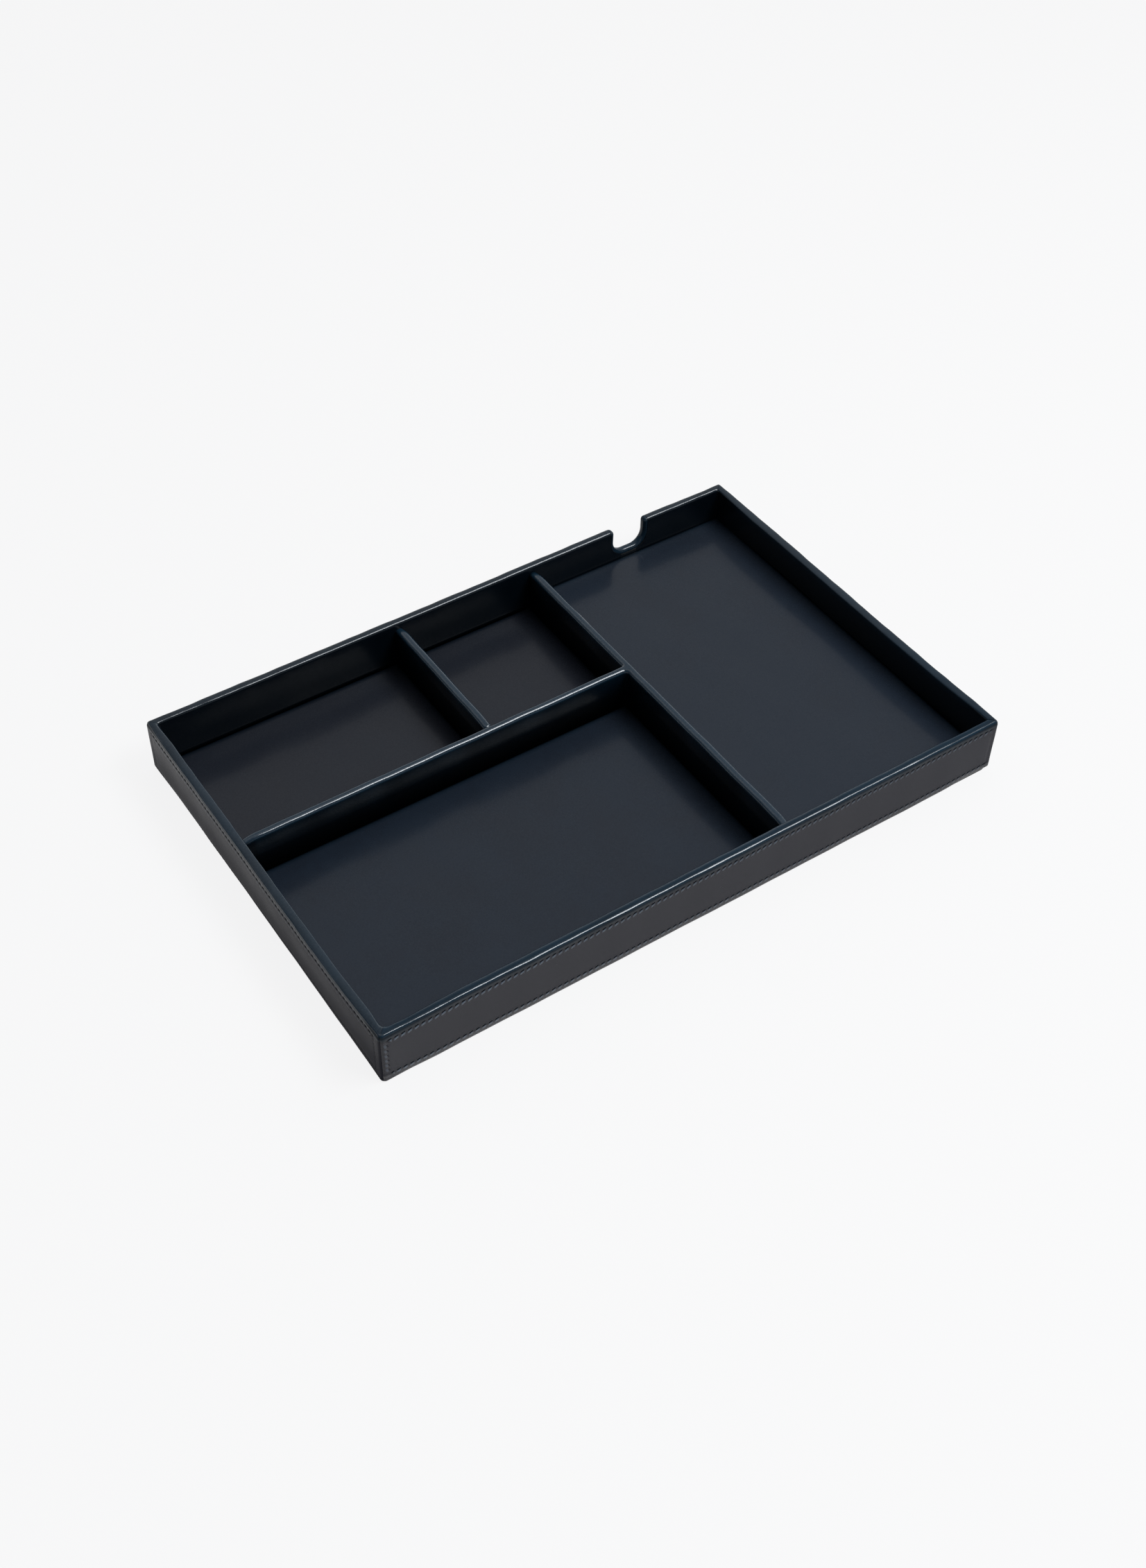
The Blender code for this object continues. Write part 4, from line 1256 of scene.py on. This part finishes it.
# Each sheet's left, right, front and back, and how blue it is painted; less is darker, as shade.
FLOORS = {
    "front_floor": (-INNER_X, long_low.x, -INNER_Y, cross_low.y, 0.9),
    "rear_left_floor": (-INNER_X, short_low.x, cross_high.y, INNER_Y, 0.35),
    "rear_middle_floor": (short_high.x, long_low.x, cross_high.y, INNER_Y, 0.35),
    "deck": (long_high.x, INNER_X, -INNER_Y, INNER_Y, 1.0),
}
for floor_name, (left, right, front, back, tint) in FLOORS.items():
    cad_node = floor_name + "_leather"
    low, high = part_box(cad_node)
    skirt = high.z - low.z - 0.05 * MM
    sheet = floor_sheet((left + EDGE_GAP, front + EDGE_GAP), (right - EDGE_GAP, back - EDGE_GAP),
                        high.z, skirt, tint)
    thick = LEATHER if floor_name == "deck" else 0.5 * LEATHER
    make_piece(floor_name + "_sheet", sheet, leather, [cad_node], thick)

# %% [markdown]
# ## Finishes of the boards and the charger
#
# The boards, the base card, the charger and the inlet keep their CAD shapes and get finishes of
# their own. Most of them can't be seen in the finished tray, but the model can be taken apart. A
# flat colour for each would be quick and look like paint, so each is built the same way: a
# pattern chooses between two colours, and it also drives the roughness and a fine bump.


# %% Patterns of the plain finishes
def fibres(place):
    flakes = place.texture("Voronoi", 700, {"feature": "F1"})
    return (flakes * 0.6 + place.texture("Noise", 1300, Detail=4) * 0.6).ramp(0.25, 0.85)


def pressed_card(place):
    felt = place.texture("Noise", 900, Detail=5)
    return (felt * 0.7 + place.texture("Noise", 60, Detail=2) * 0.3).ramp(0.35, 0.65)


def spark_texture(place):
    pits = place.texture("Noise", 3200, Detail=3)
    return (pits * 0.8 + place.texture("Noise", 90, Detail=2) * 0.2).ramp(0.35, 0.65)


def glass_weave(place):
    first, second = (place.texture("Wave", 400, {"bands_direction": way}) for way in "XY")
    return (first * 0.5 + second * 0.5).ramp(0.1, 0.9)


def sintered(place):
    return place.texture("Voronoi", 2600, {"feature": "F1"}).ramp(0.1, 0.9)


def windings(place):
    """Rings round the middle of the coil, one for each turn of wire."""
    coil_low, coil_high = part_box("charging_coil")
    to_middle = tuple((coil_low + coil_high) / -2)
    centred = place.node(
        "ShaderNodeMapping", {"vector_type": "POINT"}, {"Vector": place, "Location": to_middle})
    return centred.texture("Wave", 320, {"wave_type": "RINGS", "rings_direction": "Z"})


def drawn_steel(place):
    stretch = {"Vector": place, "Scale": (200, 4000, 4000)}
    stretched = place.node("ShaderNodeMapping", sockets=stretch)
    return stretched.texture("Noise", 1, Detail=4).ramp(0.3, 0.7)


print("patterns are ready")

# %% Plain finishes
# Two colours, the pattern that chooses between them, the roughness of each, and the bump in mm.
PLAIN = {
    "fibreboard": ((0.27, 0.18, 0.10), (0.44, 0.31, 0.19), fibres, (0.75, 0.9), 0.08),
    "base_card": (
        (0.008, 0.008, 0.009), (0.015, 0.015, 0.016), pressed_card, (0.5, 0.68), 0.06),
    "black_plastic": (
        (0.014, 0.014, 0.016), (0.021, 0.021, 0.023), spark_texture, (0.35, 0.55), 0.03),
    "circuit_laminate": (
        (0.012, 0.11, 0.05), (0.025, 0.20, 0.09), glass_weave, (0.25, 0.4), 0.02),
    "ferrite": ((0.045, 0.045, 0.05), (0.08, 0.08, 0.085), sintered, (0.5, 0.75), 0.05),
    "copper_wire": ((0.35, 0.13, 0.05), (0.80, 0.40, 0.18), windings, (0.45, 0.25), 0.25),
    "socket_steel": ((0.48, 0.49, 0.51), (0.62, 0.63, 0.65), drawn_steel, (0.22, 0.38), 0.01),
    "lead_sheath": (
        (0.014, 0.014, 0.015), (0.022, 0.022, 0.024), spark_texture, (0.55, 0.7), 0.03),
}
SHINE = {
    "circuit_laminate": dict(Coat_Weight=0.5, Coat_Roughness=0.15),
    "copper_wire": dict(Metallic=1.0),
    "socket_steel": dict(Metallic=1.0),
}


def patterned_finish(name, first, second, pattern, rough, bump_depth):
    """Two colours mixed by a pattern, which also changes the roughness and raises a small bump."""
    material, shader, values = new_finish(name, **SHINE.get(name, {}))
    amount = pattern(values.node("ShaderNodeTexCoord", output=3))
    values.feed(shader, {
        "Base Color": amount.blend(colour(*first), colour(*second)),
        "Roughness": between(*rough, amount),
        "Normal": values.bump(amount, bump_depth * MM, 0.7),
    })
    return material


finishes = {name: patterned_finish(name, *values) for name, values in PLAIN.items()}
finishes["navy_leather"] = leather
for part in frame["record"]["subparts"]:
    node = nodes[part["node"]]
    node.data.materials.clear()
    node.data.materials.append(finishes[part["material_slot"]])

# %% [markdown]
# ## Floor
#
# The tray stands on a large pale floor. A plain white floor would turn grey wherever the lamps
# are weak. So for the camera, and in gloss and glass, it is mostly its own pale light, and it
# keeps a soft shadow because the rest of it is an ordinary surface.

# %% Floor
FLOOR_SIZE = 4.0
FLOOR_TONE = colour(0.93, 0.93, 0.935)
OWN_LIGHT = 0.93


def pale_floor():
    surface = bmesh.new()
    bmesh.ops.create_grid(surface, x_segments=2, y_segments=2, size=FLOOR_SIZE)
    ground = to_object("studio_floor", surface)
    material, shader, values = new_finish("pale_floor", Roughness=0.9, Specular_IOR_Level=0.0)
    shader.inputs["Base Color"].default_value = colour(0.92, 0.91, 0.90)
    seen = values.node("ShaderNodeLightPath")
    rays = seen.socket.node.outputs
    for kind in ("Is Glossy Ray", "Is Transmission Ray"):
        seen = seen.math("MAXIMUM", seen, Field(values.tree, rays[kind]))
    own_light = values.node("ShaderNodeEmission", sockets={"Color": FLOOR_TONE, "Strength": 1.0})
    mixed = values.node("ShaderNodeMixShader", sockets={
        0: seen * OWN_LIGHT, 1: Field(values.tree, shader.outputs[0]), 2: own_light})
    values.feed(values.tree.nodes["Material Output"], {"Surface": mixed})
    ground.data.materials.append(material)
    return ground


floor = pale_floor()
print("floor", tuple(floor.dimensions))

# %% [markdown]
# ## Lamp and sky
#
# The light is soft and even. A picture of a studio could light it, but a grey sky that is
# stronger on one side does the same with two colours, and one large lamp above the front right
# gives the long thin highlights on the rims. Near the horizon the sky has the floor's colour, so
# no line shows between them.

# %% Lamp and sky
SOFTBOX_PLACE = (0.52, -0.54, 1.10)
SOFTBOX_SIZE = (0.80, 0.42)
SOFTBOX_RADIANCE = 15
SOFTBOX_TINT = (0.93, 0.97, 1.0)
SKY_BRIGHT_SIDE = (0.45, 0.45, 0.771)
SKY_DARK_TONE = colour(0.13, 0.135, 0.14)
SKY_LIGHT_TONE = colour(0.95, 0.95, 0.95)


def area_lamp():
    lamp = bpy.data.lights.new("softbox", "AREA")
    lamp.shape = "RECTANGLE"
    lamp.size, lamp.size_y = SOFTBOX_SIZE
    lamp.energy = SOFTBOX_RADIANCE * math.pi * SOFTBOX_SIZE[0] * SOFTBOX_SIZE[1]
    lamp.color = SOFTBOX_TINT
    holder = add_object("softbox", lamp)
    holder.location = SOFTBOX_PLACE
    to_tray_middle = -Vector(SOFTBOX_PLACE)
    holder.rotation_euler = to_tray_middle.to_track_quat("-Z", "Y").to_euler()
    return holder


def studio_sky():
    world = bpy.data.worlds.new("studio_sky")
    bpy.context.scene.world = world
    world.use_nodes = True
    values = Field(world.node_tree)
    direction = values.node("ShaderNodeTexCoord")
    facing = values.node("ShaderNodeVectorMath", {"operation": "DOT_PRODUCT"},
                         {0: direction, 1: SKY_BRIGHT_SIDE}, output=1)
    height = values.node("ShaderNodeSeparateXYZ", sockets={0: direction}, output=2)
    tone = facing.ramp(0.30, 0.90).blend(SKY_DARK_TONE, SKY_LIGHT_TONE)
    hazy = (1 - height.ramp(0.12, 0.22)).blend(tone, FLOOR_TONE)
    values.feed(world.node_tree.nodes["Background"], {"Color": hazy, "Strength": 1.0})


softbox = area_lamp()
studio_sky()
bpy.context.scene.view_settings.view_transform = "Standard"
print("lamp", softbox.name, "world", bpy.context.scene.world.name)
